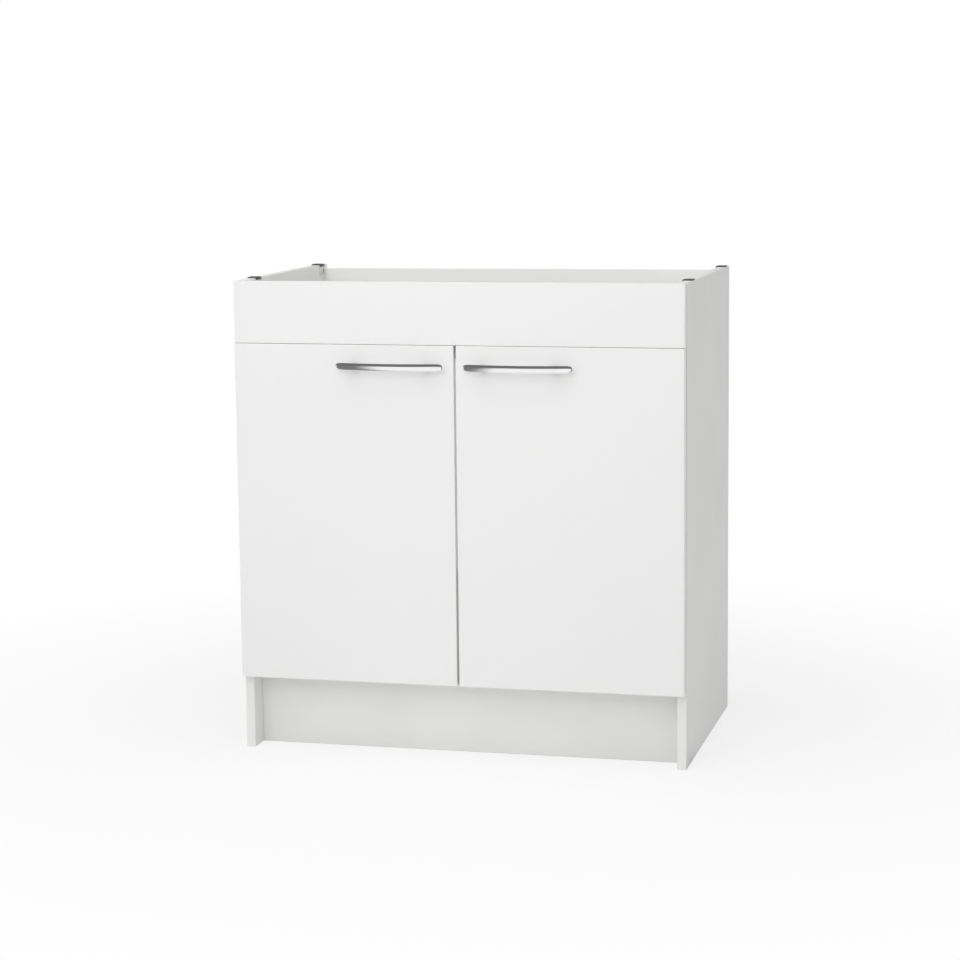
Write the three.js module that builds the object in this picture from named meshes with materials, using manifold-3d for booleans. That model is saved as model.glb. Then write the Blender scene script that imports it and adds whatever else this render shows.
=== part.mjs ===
// Kitchen sink base cabinet: two doors under a fixed fascia, open at the top for a sink.
// Millimetres. X runs to the right seen from the front, Y to the back and Z up.
// The origin is on the floor, midway between the sides and midway from handles to back.
// Inside the file, y = 0 is the front edge of the carcass and the fronts lie before it.
import * as THREE from 'three';
import { mergeVertices } from 'three/addons/utils/BufferGeometryUtils.js';
import Module from 'manifold-3d';

const wasm = await Module();
wasm.setup();

// Carcass
const cabinetWidth = 800;
const cabinetHeight = 840;
const carcassDepth = 481;
const boardThickness = 16;
const boardArris = 0.6; // easing of every long edge
const plinthHeight = 132; // floor to the underside of the bottom panel
const plinthRecess = 46;
const railDrop = 8; // rails start this far below the top of the side panels
const frontRailHeight = 124;
const rearRailHeight = 100;

// Fronts
const frontThickness = 16;
const frontArris = 1;
const doorStandOff = 3; // closed door to the carcass
const sideReveal = 1; // fronts stop short of the cabinet's outer faces
const doorGap = 4;
const fasciaHeight = 107;
const fasciaGap = 2;
const doorDrop = 1; // door bottom above the underside of the bottom panel

// Cam locks, dowels and screws
const camRadius = 7.5;
const camBackWood = 3.4; // wood left behind a cam
const camRecess = 0.2; // cam face below the face of its board
const camSetback = 34; // cam centre from the end of its board
const camSlotWidth = 1.6;
const camSlotLength = 9;
const camSlotDepth = 2.4;
const boltRadius = 3;
const boltThreadRadius = 2.4;
const boltReach = 11; // bolt into the side panel
const dowelRadius = 4;
const dowelReach = 11; // dowel into the side panel
const fixingPitch = 32; // bolt to dowel
const bottomFixingInset = 90; // first bolt of the bottom panel from its edge
const holeClearance = 0.2; // round a bolt, dowel, cam or screw in its hole
const holeEndClearance = 0.4; // beyond its tip
const screwHeadRadius = 4;
const screwHeadHeight = 2.4;
const screwHeadCrown = 2.8; // radius of the flat on top of the head
const screwShankRadius = 1.9;
const fasciaScrewReach = 11; // screw into the fascia
const fasciaScrewInset = 150; // fascia screws from the ends of the front rail
const fasciaScrewPitch = 50; // lower row to upper row

// Clips over the side panels that carry the sink or worktop
const clipLength = 24;
const clipFlange = 2; // over the top edge
const clipLeg = 2.4; // down the inner face
const clipDrop = 18;
const clipCorner = 1.8;
const clipScrewDrop = 11;
const clipBossRadius = 4.6;
const clipBossHeight = 1.2;
const clipFrontInset = 72; // clip centre from the front edge of the side panel
const clipRearInset = 37; // and from its rear edge

// Angle brackets behind the plinth board
const bracketLeg = 22;
const bracketThickness = 3;
const bracketHeight = 40;
const bracketHoleRadius = 2.2;
const bracketHoleInset = 14; // from the corner
const bracketHolePitch = 20;
const bracketLift = 45; // floor to the bracket

// Door buffers
const bufferRadius = 5;
const bufferCrown = 4; // radius at the top
const bufferShoulder = 0.6; // share of the height that stands straight
const bufferInset = 14; // buffer centre from the free edge of the door
const bufferAir = 0.3; // buffer to the closed door
const bufferTopInset = 9; // upper buffer below the top of the door

// Bow handles
const handleLength = 192;
const handleFeet = 128; // foot to foot
const handleHeight = 13;
const handleThickness = 5.2;
const handleProjection = 30;
const handleBow = 13; // how far the ends fall back from the middle
const handleNose = 0.1; // share of each half that rounds off at the end
const handleNoseEnd = 0.36; // size of the very end against the full section
const handleInset = 48; // inner foot from the free edge of the door
const handleDrop = 36; // handle below the top of the door
const footRadius = 4.4;
const footFlare = 6; // radius on the door
const footRim = 1.2; // straight edge of the flare
const footFlareHeight = 6;
const handleScrewReach = 9; // screw into the foot

// Concealed cup hinges
const hingeInset = 100; // hinge from the door's top and bottom
const cupRadius = 17.5;
const cupEdge = 3; // cup from the door's hinge edge
const cupWall = 0.8;
const cupBackWood = 3.2; // wood left behind the cup's hole
const cupHoleClearance = 0.3;
const cupCorner = 1.5;
const cupFlange = 1;
const cupFlangeRim = 0.8; // round the cup
const cupLobeRadius = 5.5;
const cupDowelOffset = 9.5; // dowel line from the cup's centre
const cupDowelPitch = 48;
const cupDowelReach = 10; // knock-in dowel into the door
const cupDowelHead = 3.2; // radius of its screw head
const cheekThickness = 2;
const cheekReach = 3; // cheek round the pin
const pinRadius = 1.25;
const pinFit = 0.05; // pin in the cheeks
const eyeRadius = 2.6;
const eyeFit = 0.1; // pin in the eye of the arm
const eyeWidth = 10;
const hingeAir = 0.3; // between the moving and the fixed parts of a hinge
const pinInset = 4.6; // pin from the hinge-side edge of the cup
const neckThickness = 2;
const neckBend = 9; // outer radius of the bend
const armHeight = 14; // arm's crown from the side panel
const armWall = 1.6;
const armTaper = 8; // stretch over which the arm widens behind its neck
const armFront = 6; // arm body from the front edge of the side panel
const armRear = 62;
const armScrewRadius = 2.4;
const armScrewHead = 4.2;
const armScrewHeadHeight = 2;
const armScrewReach = 7; // into the ridge of the plate
const armSlotLength = 10;
const adjusterHead = 3.2;
const adjusterHeadHeight = 0.8;
const adjusterSetback = 22; // adjusting screw from the front edge of the side panel
const armScrewSetback = 50; // screw that holds the arm, in its slot
const plateSetback = 37; // mounting plate's centre from the front edge of the side panel
const plateLength = 46;
const plateRidge = 12.8; // width of the ridge under the arm
const plateWing = 2;
const plateWingWidth = 13;
const plateScrewPitch = 32;
const plateScrewRadius = 2.5;
const plateScrewHead = 4.2;
const plateScrewHeadHeight = 0.8;
const plateScrewReach = 11; // into the side panel

// Roundness
const hiddenSides = 10; // holes, bolts and dowels inside the joints
const holeSides = 14;
const roundSides = 20;
const cupSides = 32;
const arrisSteps = 2;
const bendSteps = 6;
const handleSides = 12;
const handleSteps = 24;
const weldDistance = 1e-4;
const cutMargin = 5; // a cutting tool runs this far past the face it opens

// Worked out from the sizes above
const innerWidth = cabinetWidth - 2 * boardThickness;
const doorBottom = plinthHeight + doorDrop;
const doorTop = cabinetHeight - fasciaHeight - fasciaGap;
const doorHeight = doorTop - doorBottom;
const doorWidth = cabinetWidth / 2 - sideReveal - doorGap / 2;
const railTop = cabinetHeight - railDrop;
const camDepth = boardThickness - camBackWood;
const cupHoleDepth = frontThickness - cupBackWood;
const cupDepth = cupHoleDepth - cupHoleClearance;
const cupCentre = sideReveal + cupEdge + cupRadius; // from the outer face of the side panel
const pinAcross = sideReveal + cupEdge + pinInset; // hinge pin from the same face
const pinForward = doorStandOff + cupDepth - cupWall - hingeAir - eyeRadius; // before the carcass
const frontReach = doorStandOff + frontThickness + handleProjection;
const hingeHeights = { lower: doorBottom + hingeInset, upper: doorTop - hingeInset };

const xAxis = new THREE.Vector3(1, 0, 0);
const yAxis = new THREE.Vector3(0, 1, 0);
const zAxis = new THREE.Vector3(0, 0, 1);

// Finishes
function finish(color, roughness, metalness = 0) {
  return () => new THREE.MeshStandardMaterial({ color, roughness, metalness });
}

const whiteBoard = finish('#f0f0ee', 0.5);
const whiteFront = finish('#f4f4f2', 0.35);
const polishedMetal = finish('#d6d7d8', 0.12, 1);
const platedSteel = finish('#b9babb', 0.32, 1);
const zincCasting = finish('#9fa2a3', 0.45, 1);
const darkPlastic = finish('#4a4b4a', 0.6);
const whitePlastic = finish('#e9e9e4', 0.5);
const clearRubber = finish('#dcdcd6', 0.55);

// A closed geometry as a solid that can be cut and joined.
function solidOf(geometry, place = new THREE.Matrix4()) {
  const placed = geometry.clone().applyMatrix4(place);
  placed.deleteAttribute('normal');
  placed.deleteAttribute('uv');
  const welded = mergeVertices(placed, weldDistance);
  return new wasm.Manifold(new wasm.Mesh({
    numProp: 3,
    vertProperties: new Float32Array(welded.attributes.position.array),
    triVerts: new Uint32Array(welded.index.array),
  }));
}

function geometryOf(solid) {
  const { vertProperties, triVerts } = solid.getMesh();
  const geometry = new THREE.BufferGeometry();
  geometry.setAttribute('position', new THREE.BufferAttribute(vertProperties, 3));
  geometry.setIndex(new THREE.BufferAttribute(triVerts, 1));
  geometry.computeVertexNormals();
  return geometry;
}

function cutAll(solid, tools) {
  return tools.reduce((rest, tool) => rest.subtract(tool), solid);
}

function joinAll(solids) {
  return solids.reduce((sum, solid) => sum.add(solid));
}

function meshOf(name, shape, material, position = [0, 0, 0]) {
  const geometry = shape.isBufferGeometry ? shape : geometryOf(shape);
  const mesh = new THREE.Mesh(geometry, material());
  mesh.name = name;
  mesh.position.set(...position);
  return mesh;
}

// A block between two opposite corners.
function block(low, high) {
  const size = high.map((value, i) => value - low[i]);
  const middle = high.map((value, i) => (value + low[i]) / 2);
  const place = new THREE.Matrix4().makeTranslation(...middle);
  return solidOf(new THREE.BoxGeometry(...size), place);
}

// A round rod, or the tool for a round hole, between two points.
function rod(radius, from, to, sides = holeSides) {
  const start = new THREE.Vector3(...from);
  const along = new THREE.Vector3(...to).sub(start);
  const middle = start.clone().addScaledVector(along, 0.5);
  const turn = new THREE.Quaternion().setFromUnitVectors(yAxis, along.clone().normalize());
  const place = new THREE.Matrix4().compose(middle, turn, new THREE.Vector3(1, 1, 1));
  return solidOf(new THREE.CylinderGeometry(radius, radius, along.length(), sides), place);
}

// A turned piece about the Y axis, from its outline as [radius, height] pairs.
function turned(outline, sides = roundSides) {
  const points = outline.map(([radius, height]) => new THREE.Vector2(radius, height));
  return new THREE.LatheGeometry([...points, points[0].clone()], sides);
}

// A rectangle in the sheet plane, from its low corner.
function rectangle(x, y, width, height) {
  const shape = new THREE.Shape();
  shape.moveTo(x, y);
  shape.lineTo(x + width, y);
  shape.lineTo(x + width, y + height);
  shape.lineTo(x, y + height);
  shape.closePath();
  return shape;
}

function plate(shape, thickness) {
  return new THREE.ExtrudeGeometry(shape, {
    depth: thickness, bevelEnabled: false, curveSegments: bendSteps,
  });
}

// A board with eased arrises. Its outline lies in X and Y and its thickness rises from 0.
function board(width, height, thickness, arris) {
  const outline = rectangle(-width / 2, 0, width, height);
  const geometry = new THREE.ExtrudeGeometry(outline, {
    depth: thickness - 2 * arris,
    bevelEnabled: true,
    bevelThickness: arris,
    bevelSize: arris,
    bevelOffset: -arris,
    bevelSegments: arrisSteps,
  });
  return geometry.translate(0, 0, arris);
}

// Turns a lying board so that it faces the front: its thickness runs back from y = 0.
const facingFront = new THREE.Matrix4().makeBasis(xAxis, zAxis, yAxis.clone().negate());

function frontBoard(width, height, thickness, arris) {
  const back = new THREE.Matrix4().makeTranslation(0, thickness, 0);
  return solidOf(board(width, height, thickness, arris), back.multiply(facingFront));
}

// A board that stands across X, with its thickness centred, its front at y = 0 and foot at z = 0.
function sideBoard(depth, height, thickness, arris) {
  const place = new THREE.Matrix4().makeBasis(yAxis, zAxis, xAxis);
  place.setPosition(-thickness / 2, depth / 2, 0);
  return solidOf(board(depth, height, thickness, arris), place);
}

// The three upright rails between the side panels, from the front edge of the carcass.
const rails = [
  { name: 'front_rail', front: 0, height: frontRailHeight, bottom: railTop - frontRailHeight },
  {
    name: 'rear_rail_upper', front: carcassDepth - boardThickness,
    height: rearRailHeight, bottom: railTop - rearRailHeight,
  },
  {
    name: 'rear_rail_lower', front: carcassDepth - boardThickness,
    height: rearRailHeight, bottom: plinthHeight + boardThickness,
  },
];

// Bolts and dowels at one end of each board, as [y, z] on the side panel.
function railBolt(rail) {
  return [rail.front + boardThickness / 2, rail.bottom + (rail.height + fixingPitch) / 2];
}

function railDowel(rail) {
  return [rail.front + boardThickness / 2, rail.bottom + (rail.height - fixingPitch) / 2];
}

const bottomFixingHeight = plinthHeight + boardThickness / 2;
const bottomBolts = [bottomFixingInset, carcassDepth - bottomFixingInset]
  .map((y) => [y, bottomFixingHeight]);
const bottomDowels = [
  bottomFixingInset + fixingPitch,
  carcassDepth - bottomFixingInset - fixingPitch,
].map((y) => [y, bottomFixingHeight]);
const bolts = [...rails.map(railBolt), ...bottomBolts];
const dowels = [...rails.map(railDowel), ...bottomDowels];
const platePilots = Object.values(hingeHeights).flatMap((z) => [
  [plateSetback, z - plateScrewPitch / 2],
  [plateSetback, z + plateScrewPitch / 2],
]);

// A side panel from floor to top, with blind holes in its inner face for the bolts and dowels
// of the joints and for the screws of the hinge plates.
function sidePanel(name, sign) {
  const panel = sideBoard(carcassDepth, cabinetHeight, boardThickness, boardArris);
  const innerFace = -sign * boardThickness / 2;
  const holeTo = (radius, reach) => ([y, z]) => rod(
    radius + holeClearance,
    [innerFace - sign * cutMargin, y, z],
    [innerFace + sign * (reach + holeEndClearance), y, z],
    hiddenSides,
  );
  const holes = [
    ...bolts.map(holeTo(boltThreadRadius, boltReach)),
    ...dowels.map(holeTo(dowelRadius, dowelReach)),
    ...platePilots.map(holeTo(plateScrewRadius, plateScrewReach)),
  ];
  const middle = sign * (cabinetWidth - boardThickness) / 2;
  return meshOf(name, cutAll(panel, holes), whiteBoard, [middle, 0, 0]);
}

// Bore for a cam and its bolt: the cam enters along `inward` from `face`, the bolt along X.
function camBores(face, inward, sign) {
  const centre = new THREE.Vector3(...face);
  const bottom = centre.clone().addScaledVector(inward, camDepth);
  const mouth = centre.clone().addScaledVector(inward, -cutMargin);
  const boltStart = centre.clone().addScaledVector(inward, boardThickness / 2);
  const boltEnd = boltStart.clone().addScaledVector(xAxis, sign * (camSetback + cutMargin));
  return [
    rod(camRadius + holeClearance, mouth.toArray(), bottom.toArray(), roundSides),
    rod(boltRadius + holeClearance, boltStart.toArray(), boltEnd.toArray(), hiddenSides),
  ];
}

// A dowel glued into the end of a board and standing out of it.
function dowelAt(y, z, sign) {
  const [from, to] = [-dowelReach, dowelReach].map((reach) => sign * (innerWidth / 2 + reach));
  return rod(dowelRadius, [from, y, z], [to, y, z], hiddenSides);
}

const bothEnds = [-1, 1];
const boardInset = innerWidth / 2 - camSetback;

// A rail between the side panels. Its place is its front face, and its cams open to the back.
function uprightRail(rail) {
  const body = frontBoard(innerWidth, rail.height, boardThickness, boardArris);
  const boltHeight = railBolt(rail)[1] - rail.bottom;
  const dowelHeight = railDowel(rail)[1] - rail.bottom;
  const bores = bothEnds.flatMap((sign) => camBores(
    [sign * boardInset, boardThickness, boltHeight], yAxis.clone().negate(), sign,
  ));
  const plugs = bothEnds.map((sign) => dowelAt(boardThickness / 2, dowelHeight, sign));
  const screws = rail.name === 'front_rail' ? fasciaScrewPlaces() : [];
  const screwHoles = screws.map(([x, z]) => rod(
    screwShankRadius + holeClearance,
    [x, -cutMargin, z - rail.bottom],
    [x, boardThickness + cutMargin, z - rail.bottom],
  ));
  const shape = cutAll(joinAll([body, ...plugs]), [...bores, ...screwHoles]);
  return meshOf(rail.name, shape, whiteBoard, [0, rail.front, rail.bottom]);
}

// The bottom panel lies between the side panels, with its cams in the underside.
function bottomPanel() {
  const body = solidOf(board(innerWidth, carcassDepth, boardThickness, boardArris));
  const bores = bothEnds.flatMap((sign) => bottomBolts.flatMap(
    ([y]) => camBores([sign * boardInset, y, 0], zAxis, sign),
  ));
  const plugs = bothEnds.flatMap((sign) => bottomDowels.map(
    ([y]) => dowelAt(y, boardThickness / 2, sign),
  ));
  const shape = cutAll(joinAll([body, ...plugs]), bores);
  return meshOf('bottom_panel', shape, whiteBoard, [0, 0, plinthHeight]);
}

// A cam with its bolt drawn in. The cam's slotted face looks up Z, and the bolt runs along X.
function camLock() {
  const height = camDepth - camRecess - holeEndClearance;
  const chamfer = camRecess;
  const outline = [
    [0, -height], [camRadius, -height], [camRadius, -chamfer], [camRadius - chamfer, 0], [0, 0],
  ];
  const upright = new THREE.Matrix4().makeRotationX(Math.PI / 2);
  const barrel = solidOf(turned(outline), upright);
  const slot = (along, across) => block(
    [-along / 2, -across / 2, -camSlotDepth], [along / 2, across / 2, cutMargin],
  );
  const axisDepth = camRecess - boardThickness / 2;
  const boltTo = (radius, x) => rod(radius, [0, 0, axisDepth], [x, 0, axisDepth], hiddenSides);
  const shank = boltTo(boltRadius, camSetback);
  const thread = boltTo(boltThreadRadius, camSetback + boltReach);
  const slots = [slot(camSlotLength, camSlotWidth), slot(camSlotWidth, camSlotLength)];
  return geometryOf(joinAll([cutAll(barrel, slots), shank, thread]));
}

// Cams face the back on a rail and down on the bottom panel; left ones are turned half round.
function camLocks() {
  const group = new THREE.Group();
  const geometry = camLock();
  const place = (name, position, faceTurn, sign) => {
    const face = new THREE.Group();
    face.position.set(...position);
    face.rotation.x = faceTurn;
    const cam = meshOf(name, geometry, zincCasting);
    cam.rotation.z = sign > 0 ? 0 : Math.PI;
    face.add(cam);
    group.add(face);
  };
  for (const [side, sign] of [['left', -1], ['right', 1]]) {
    const x = sign * boardInset;
    for (const rail of rails) {
      const y = rail.front + boardThickness - camRecess;
      place(`cam_lock_${rail.name}_${side}`, [x, y, railBolt(rail)[1]], -Math.PI / 2, sign);
    }
    bottomBolts.forEach(([y], index) => {
      const end = index === 0 ? 'front' : 'rear';
      place(`cam_lock_bottom_${end}_${side}`, [x, y, plinthHeight + camRecess], Math.PI, sign);
    });
  }
  return group;
}

// The plinth board stands on the floor under the bottom panel, set back for the feet.
function plinthBoard() {
  const shape = frontBoard(innerWidth, plinthHeight, boardThickness, boardArris);
  return meshOf('plinth_board', shape, whiteBoard, [0, plinthRecess, 0]);
}

// An angle with a web, one leg on the plinth board and one on the side panel.
function plinthBracket(name, sign) {
  const outline = new THREE.Shape();
  outline.moveTo(0, 0);
  outline.lineTo(bracketLeg, 0);
  outline.lineTo(bracketLeg, bracketThickness);
  outline.lineTo(2 * bracketThickness, bracketThickness);
  outline.absarc(
    2 * bracketThickness, 2 * bracketThickness, bracketThickness, -Math.PI / 2, Math.PI, true,
  );
  outline.lineTo(bracketThickness, bracketLeg);
  outline.lineTo(0, bracketLeg);
  outline.closePath();
  const legs = solidOf(plate(outline, bracketHeight));
  const web = new THREE.Shape();
  web.moveTo(0, 0);
  web.lineTo(bracketLeg, 0);
  web.lineTo(bracketLeg, bracketThickness);
  web.lineTo(bracketThickness, bracketLeg);
  web.lineTo(0, bracketLeg);
  web.closePath();
  const webLift = new THREE.Matrix4()
    .makeTranslation(0, 0, (bracketHeight - bracketThickness) / 2);
  const inset = bracketHoleInset;
  const holesAt = (height) => [
    rod(bracketHoleRadius, [inset, -cutMargin, height], [inset, cutMargin, height]),
    rod(bracketHoleRadius, [-cutMargin, inset, height], [cutMargin, inset, height]),
  ];
  const heights = bothEnds.map((end) => (bracketHeight + end * bracketHolePitch) / 2);
  const body = joinAll([legs, solidOf(plate(web, bracketThickness), webLift)]);
  const mesh = meshOf(name, cutAll(body, heights.flatMap(holesAt)), whitePlastic);
  // The outline's corner goes into the corner of the boards, its legs inwards and backwards.
  mesh.rotation.z = sign < 0 ? 0 : Math.PI / 2;
  mesh.position.set(sign * innerWidth / 2, plinthRecess + boardThickness, bracketLift);
  return mesh;
}

// A clip that lies over the top edge of a side panel and runs down its inner face.
function sinkClip(name, sign, y) {
  const outline = new THREE.Shape();
  outline.moveTo(-boardThickness, 0);
  outline.lineTo(-boardThickness, clipFlange);
  outline.lineTo(clipLeg - clipCorner, clipFlange);
  outline.absarc(clipLeg - clipCorner, clipFlange - clipCorner, clipCorner, Math.PI / 2, 0, true);
  outline.lineTo(clipLeg, -clipDrop);
  outline.lineTo(0, -clipDrop);
  outline.lineTo(0, 0);
  outline.closePath();
  const upright = new THREE.Matrix4().makeRotationX(Math.PI / 2);
  upright.setPosition(0, clipLength / 2, 0);
  const body = solidOf(plate(outline, clipLength), upright);
  const bossTop = clipLeg + clipBossHeight;
  const boss = rod(clipBossRadius, [clipLeg / 2, 0, -clipScrewDrop], [bossTop, 0, -clipScrewDrop]);
  const hole = rod(
    screwShankRadius + holeClearance,
    [-cutMargin, 0, -clipScrewDrop], [bossTop + cutMargin, 0, -clipScrewDrop],
  );
  const mesh = meshOf(name, cutAll(joinAll([body, boss]), [hole]), darkPlastic);
  mesh.rotation.z = sign < 0 ? 0 : Math.PI;
  mesh.position.set(sign * innerWidth / 2, y, cabinetHeight);
  return mesh;
}

function sinkClips() {
  const places = { front: clipFrontInset, rear: carcassDepth - clipRearInset };
  return [['left', -1], ['right', 1]].flatMap(([side, sign]) => Object.entries(places).map(
    ([end, y]) => sinkClip(`sink_clip_${end}_${side}`, sign, y),
  ));
}

// Fascia screws, as [x, z], in two rows behind the fascia.
function fasciaScrewPlaces() {
  const middle = cabinetHeight - fasciaHeight / 2;
  const across = innerWidth / 2 - fasciaScrewInset;
  return bothEnds.flatMap((sign) => bothEnds.map(
    (row) => [sign * across, middle + row * fasciaScrewPitch / 2],
  ));
}

// The fascia is screwed from behind against the front rail and the side panels.
function fascia() {
  const bottom = cabinetHeight - fasciaHeight;
  const width = cabinetWidth - 2 * sideReveal;
  const body = frontBoard(width, fasciaHeight, frontThickness, frontArris);
  const holes = fasciaScrewPlaces().map(([x, z]) => rod(
    screwShankRadius + holeClearance,
    [x, frontThickness + cutMargin, z - bottom],
    [x, frontThickness - fasciaScrewReach - holeEndClearance, z - bottom],
  ));
  return meshOf('fascia', cutAll(body, holes), whiteFront, [0, -frontThickness, bottom]);
}

// A pan-head screw along -Y, with the underside of its head at y = 0.
function panHeadScrew(length) {
  return turned([
    [0, -length], [screwShankRadius, screwShankRadius - length], [screwShankRadius, 0],
    [screwHeadRadius, 0], [screwHeadRadius, screwHeadHeight / 2],
    [screwHeadCrown, screwHeadHeight], [0, screwHeadHeight],
  ], holeSides);
}

function fasciaScrews() {
  const geometry = panHeadScrew(boardThickness + fasciaScrewReach);
  return fasciaScrewPlaces().map(([x, z]) => {
    const side = x < 0 ? 'left' : 'right';
    const row = z < cabinetHeight - fasciaHeight / 2 ? 'lower' : 'upper';
    return meshOf(`fascia_screw_${row}_${side}`, geometry, platedSteel, [x, boardThickness, z]);
  });
}

// Buffers on the front rail and on the bottom panel's edge, where the doors close.
function doorBuffers() {
  const height = doorStandOff - bufferAir;
  const outline = [
    [0, 0], [bufferRadius, 0], [bufferRadius, height * bufferShoulder],
    [bufferCrown, height], [0, height],
  ];
  const geometry = turned(outline).rotateX(Math.PI);
  const heights = {
    upper: doorTop - bufferTopInset,
    lower: plinthHeight + boardThickness / 2,
  };
  return [['left', -1], ['right', 1]].flatMap(([side, sign]) => Object.entries(heights).map(
    ([row, z]) => meshOf(
      `door_buffer_${row}_${side}`, geometry, clearRubber,
      [sign * (doorGap / 2 + bufferInset), 0, z],
    ),
  ));
}

// A point's share of the full handle section, falling away in a round nose at each end.
function noseTaper(along) {
  const into = Math.max(0, (along - (1 - handleNose)) / handleNose);
  return handleNoseEnd + (1 - handleNoseEnd) * Math.sqrt(Math.max(0, 1 - into * into));
}

// Stations along half a handle crowd together towards the nose.
function stationAlong(share) {
  return Math.sign(share) * Math.sin(Math.abs(share) * Math.PI / 2);
}

// Distance of the bar's middle line from the door, at a share of the half length.
function bowHeight(along) {
  return handleProjection - handleThickness / 2 - handleBow * along * along;
}

// The bow: an oval bar that arches away from the door, thinning to a nose at both ends. It is
// drawn straight, from -1 to 1 along Z, and then stretched, bent and tapered.
function handleBar() {
  const oval = new THREE.Shape();
  oval.absellipse(0, 0, handleHeight / 2, handleThickness / 2, 0, 2 * Math.PI);
  const geometry = new THREE.ExtrudeGeometry(oval, {
    depth: 2, steps: handleSteps, curveSegments: handleSides / 2, bevelEnabled: false,
  });
  geometry.translate(0, 0, -1);
  const position = geometry.attributes.position;
  for (let i = 0; i < position.count; i += 1) {
    const along = stationAlong(position.getZ(i));
    const taper = noseTaper(Math.abs(along));
    position.setXYZ(
      i,
      along * handleLength / 2,
      position.getY(i) * taper - bowHeight(along),
      -position.getX(i) * taper,
    );
  }
  return solidOf(geometry);
}

// A foot that flares on to the door and ends inside the bar.
function handleFoot(x) {
  const length = bowHeight(x / (handleLength / 2));
  const outline = [
    [0, 0], [footFlare, 0], [footFlare, footRim], [footRadius, footFlareHeight],
    [footRadius, length], [0, length],
  ];
  const place = new THREE.Matrix4().makeRotationX(Math.PI).setPosition(x, 0, 0);
  return solidOf(turned(outline), place);
}

function handleShape() {
  const feet = bothEnds.map((sign) => handleFoot(sign * handleFeet / 2));
  const holes = bothEnds.map((sign) => rod(
    screwShankRadius + holeClearance,
    [sign * handleFeet / 2, cutMargin, 0],
    [sign * handleFeet / 2, -handleScrewReach - holeEndClearance, 0],
  ));
  return cutAll(joinAll([handleBar(), ...feet]), holes);
}

// A slab door, bored for two hinge cups, their dowels and two handle screws. Its place is its
// middle at the foot, on the plane of its back face.
function doorPanel(sign) {
  const body = solidOf(board(doorWidth, doorHeight, frontThickness, frontArris), facingFront);
  const hole = (radius, depth, x, z, sides) => rod(
    radius, [x, cutMargin, z], [x, -depth, z], sides,
  );
  const cupX = sign * (doorWidth / 2 - cupEdge - cupRadius);
  const dowelX = cupX - sign * cupDowelOffset;
  const hingeHoles = Object.values(hingeHeights).flatMap((height) => {
    const z = height - doorBottom;
    const dowelHoles = bothEnds.map((end) => hole(
      dowelRadius + holeClearance, cupDowelReach + holeEndClearance,
      dowelX, z + end * cupDowelPitch / 2, hiddenSides,
    ));
    return [hole(cupRadius + cupHoleClearance, cupHoleDepth, cupX, z, cupSides), ...dowelHoles];
  });
  const screwHoles = handleFootPlaces(sign).map((x) => hole(
    screwShankRadius + holeClearance, frontThickness + cutMargin,
    x, doorHeight - handleDrop, hiddenSides,
  ));
  return cutAll(body, [...hingeHoles, ...screwHoles]);
}

// Feet of a handle across the door, inner foot first, measured from the door's middle.
function handleFootPlaces(sign) {
  return [handleInset, handleInset + handleFeet].map((u) => -sign * (doorWidth / 2 - u));
}

// A door with its handle and screws, on its own group at the foot of its back face.
function door(side, sign) {
  const group = new THREE.Group();
  group.position.set(sign * (doorGap + doorWidth) / 2, -doorStandOff, doorBottom);
  group.add(meshOf(`door_${side}`, doorPanel(sign), whiteFront));
  const height = doorHeight - handleDrop;
  const [inner, outer] = handleFootPlaces(sign);
  group.add(meshOf(
    `handle_${side}`, handleShape(), polishedMetal, [(inner + outer) / 2, -frontThickness, height],
  ));
  const screw = panHeadScrew(frontThickness + handleScrewReach);
  group.add(meshOf(`handle_screw_inner_${side}`, screw, platedSteel, [inner, 0, height]));
  group.add(meshOf(`handle_screw_outer_${side}`, screw, platedSteel, [outer, 0, height]));
  return group;
}

// Hinge parts are drawn for the left side: X inwards from the outer face of the side panel,
// Y back from the carcass front and Z from the middle of the hinge.

const armCrown = boardThickness + armHeight; // outer face of the arm
const ridgeCrown = armCrown - neckThickness; // the arm lies on it

// Mounting plate: wings with their two screws set in the side panel, and a ridge that the arm
// straddles, tapped for the arm's two screws.
function hingePlate() {
  const face = boardThickness;
  const wingTop = face + plateWing;
  const strap = block(
    [face, plateSetback - plateWingWidth / 2, -plateScrewPitch / 2],
    [wingTop, plateSetback + plateWingWidth / 2, plateScrewPitch / 2],
  );
  const atScrews = (radius, from, to, sides) => bothEnds.map((sign) => rod(
    radius,
    [from, plateSetback, sign * plateScrewPitch / 2],
    [to, plateSetback, sign * plateScrewPitch / 2],
    sides,
  ));
  const front = plateSetback - plateLength / 2;
  const ridge = block(
    [face, front, -plateRidge / 2], [ridgeCrown, front + plateLength, plateRidge / 2],
  );
  const tapped = [adjusterSetback, armScrewSetback].map((y) => rod(
    armScrewRadius + holeClearance,
    [ridgeCrown - armScrewReach - holeEndClearance, y, 0], [ridgeCrown + cutMargin, y, 0],
    hiddenSides,
  ));
  const body = joinAll([
    strap,
    ridge,
    ...atScrews(plateWingWidth / 2, face, wingTop, roundSides),
    ...atScrews(plateScrewHead, face, wingTop + plateScrewHeadHeight, holeSides),
    ...atScrews(plateScrewRadius, face - plateScrewReach, wingTop, hiddenSides),
  ]);
  return cutAll(body, tapped);
}

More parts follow.
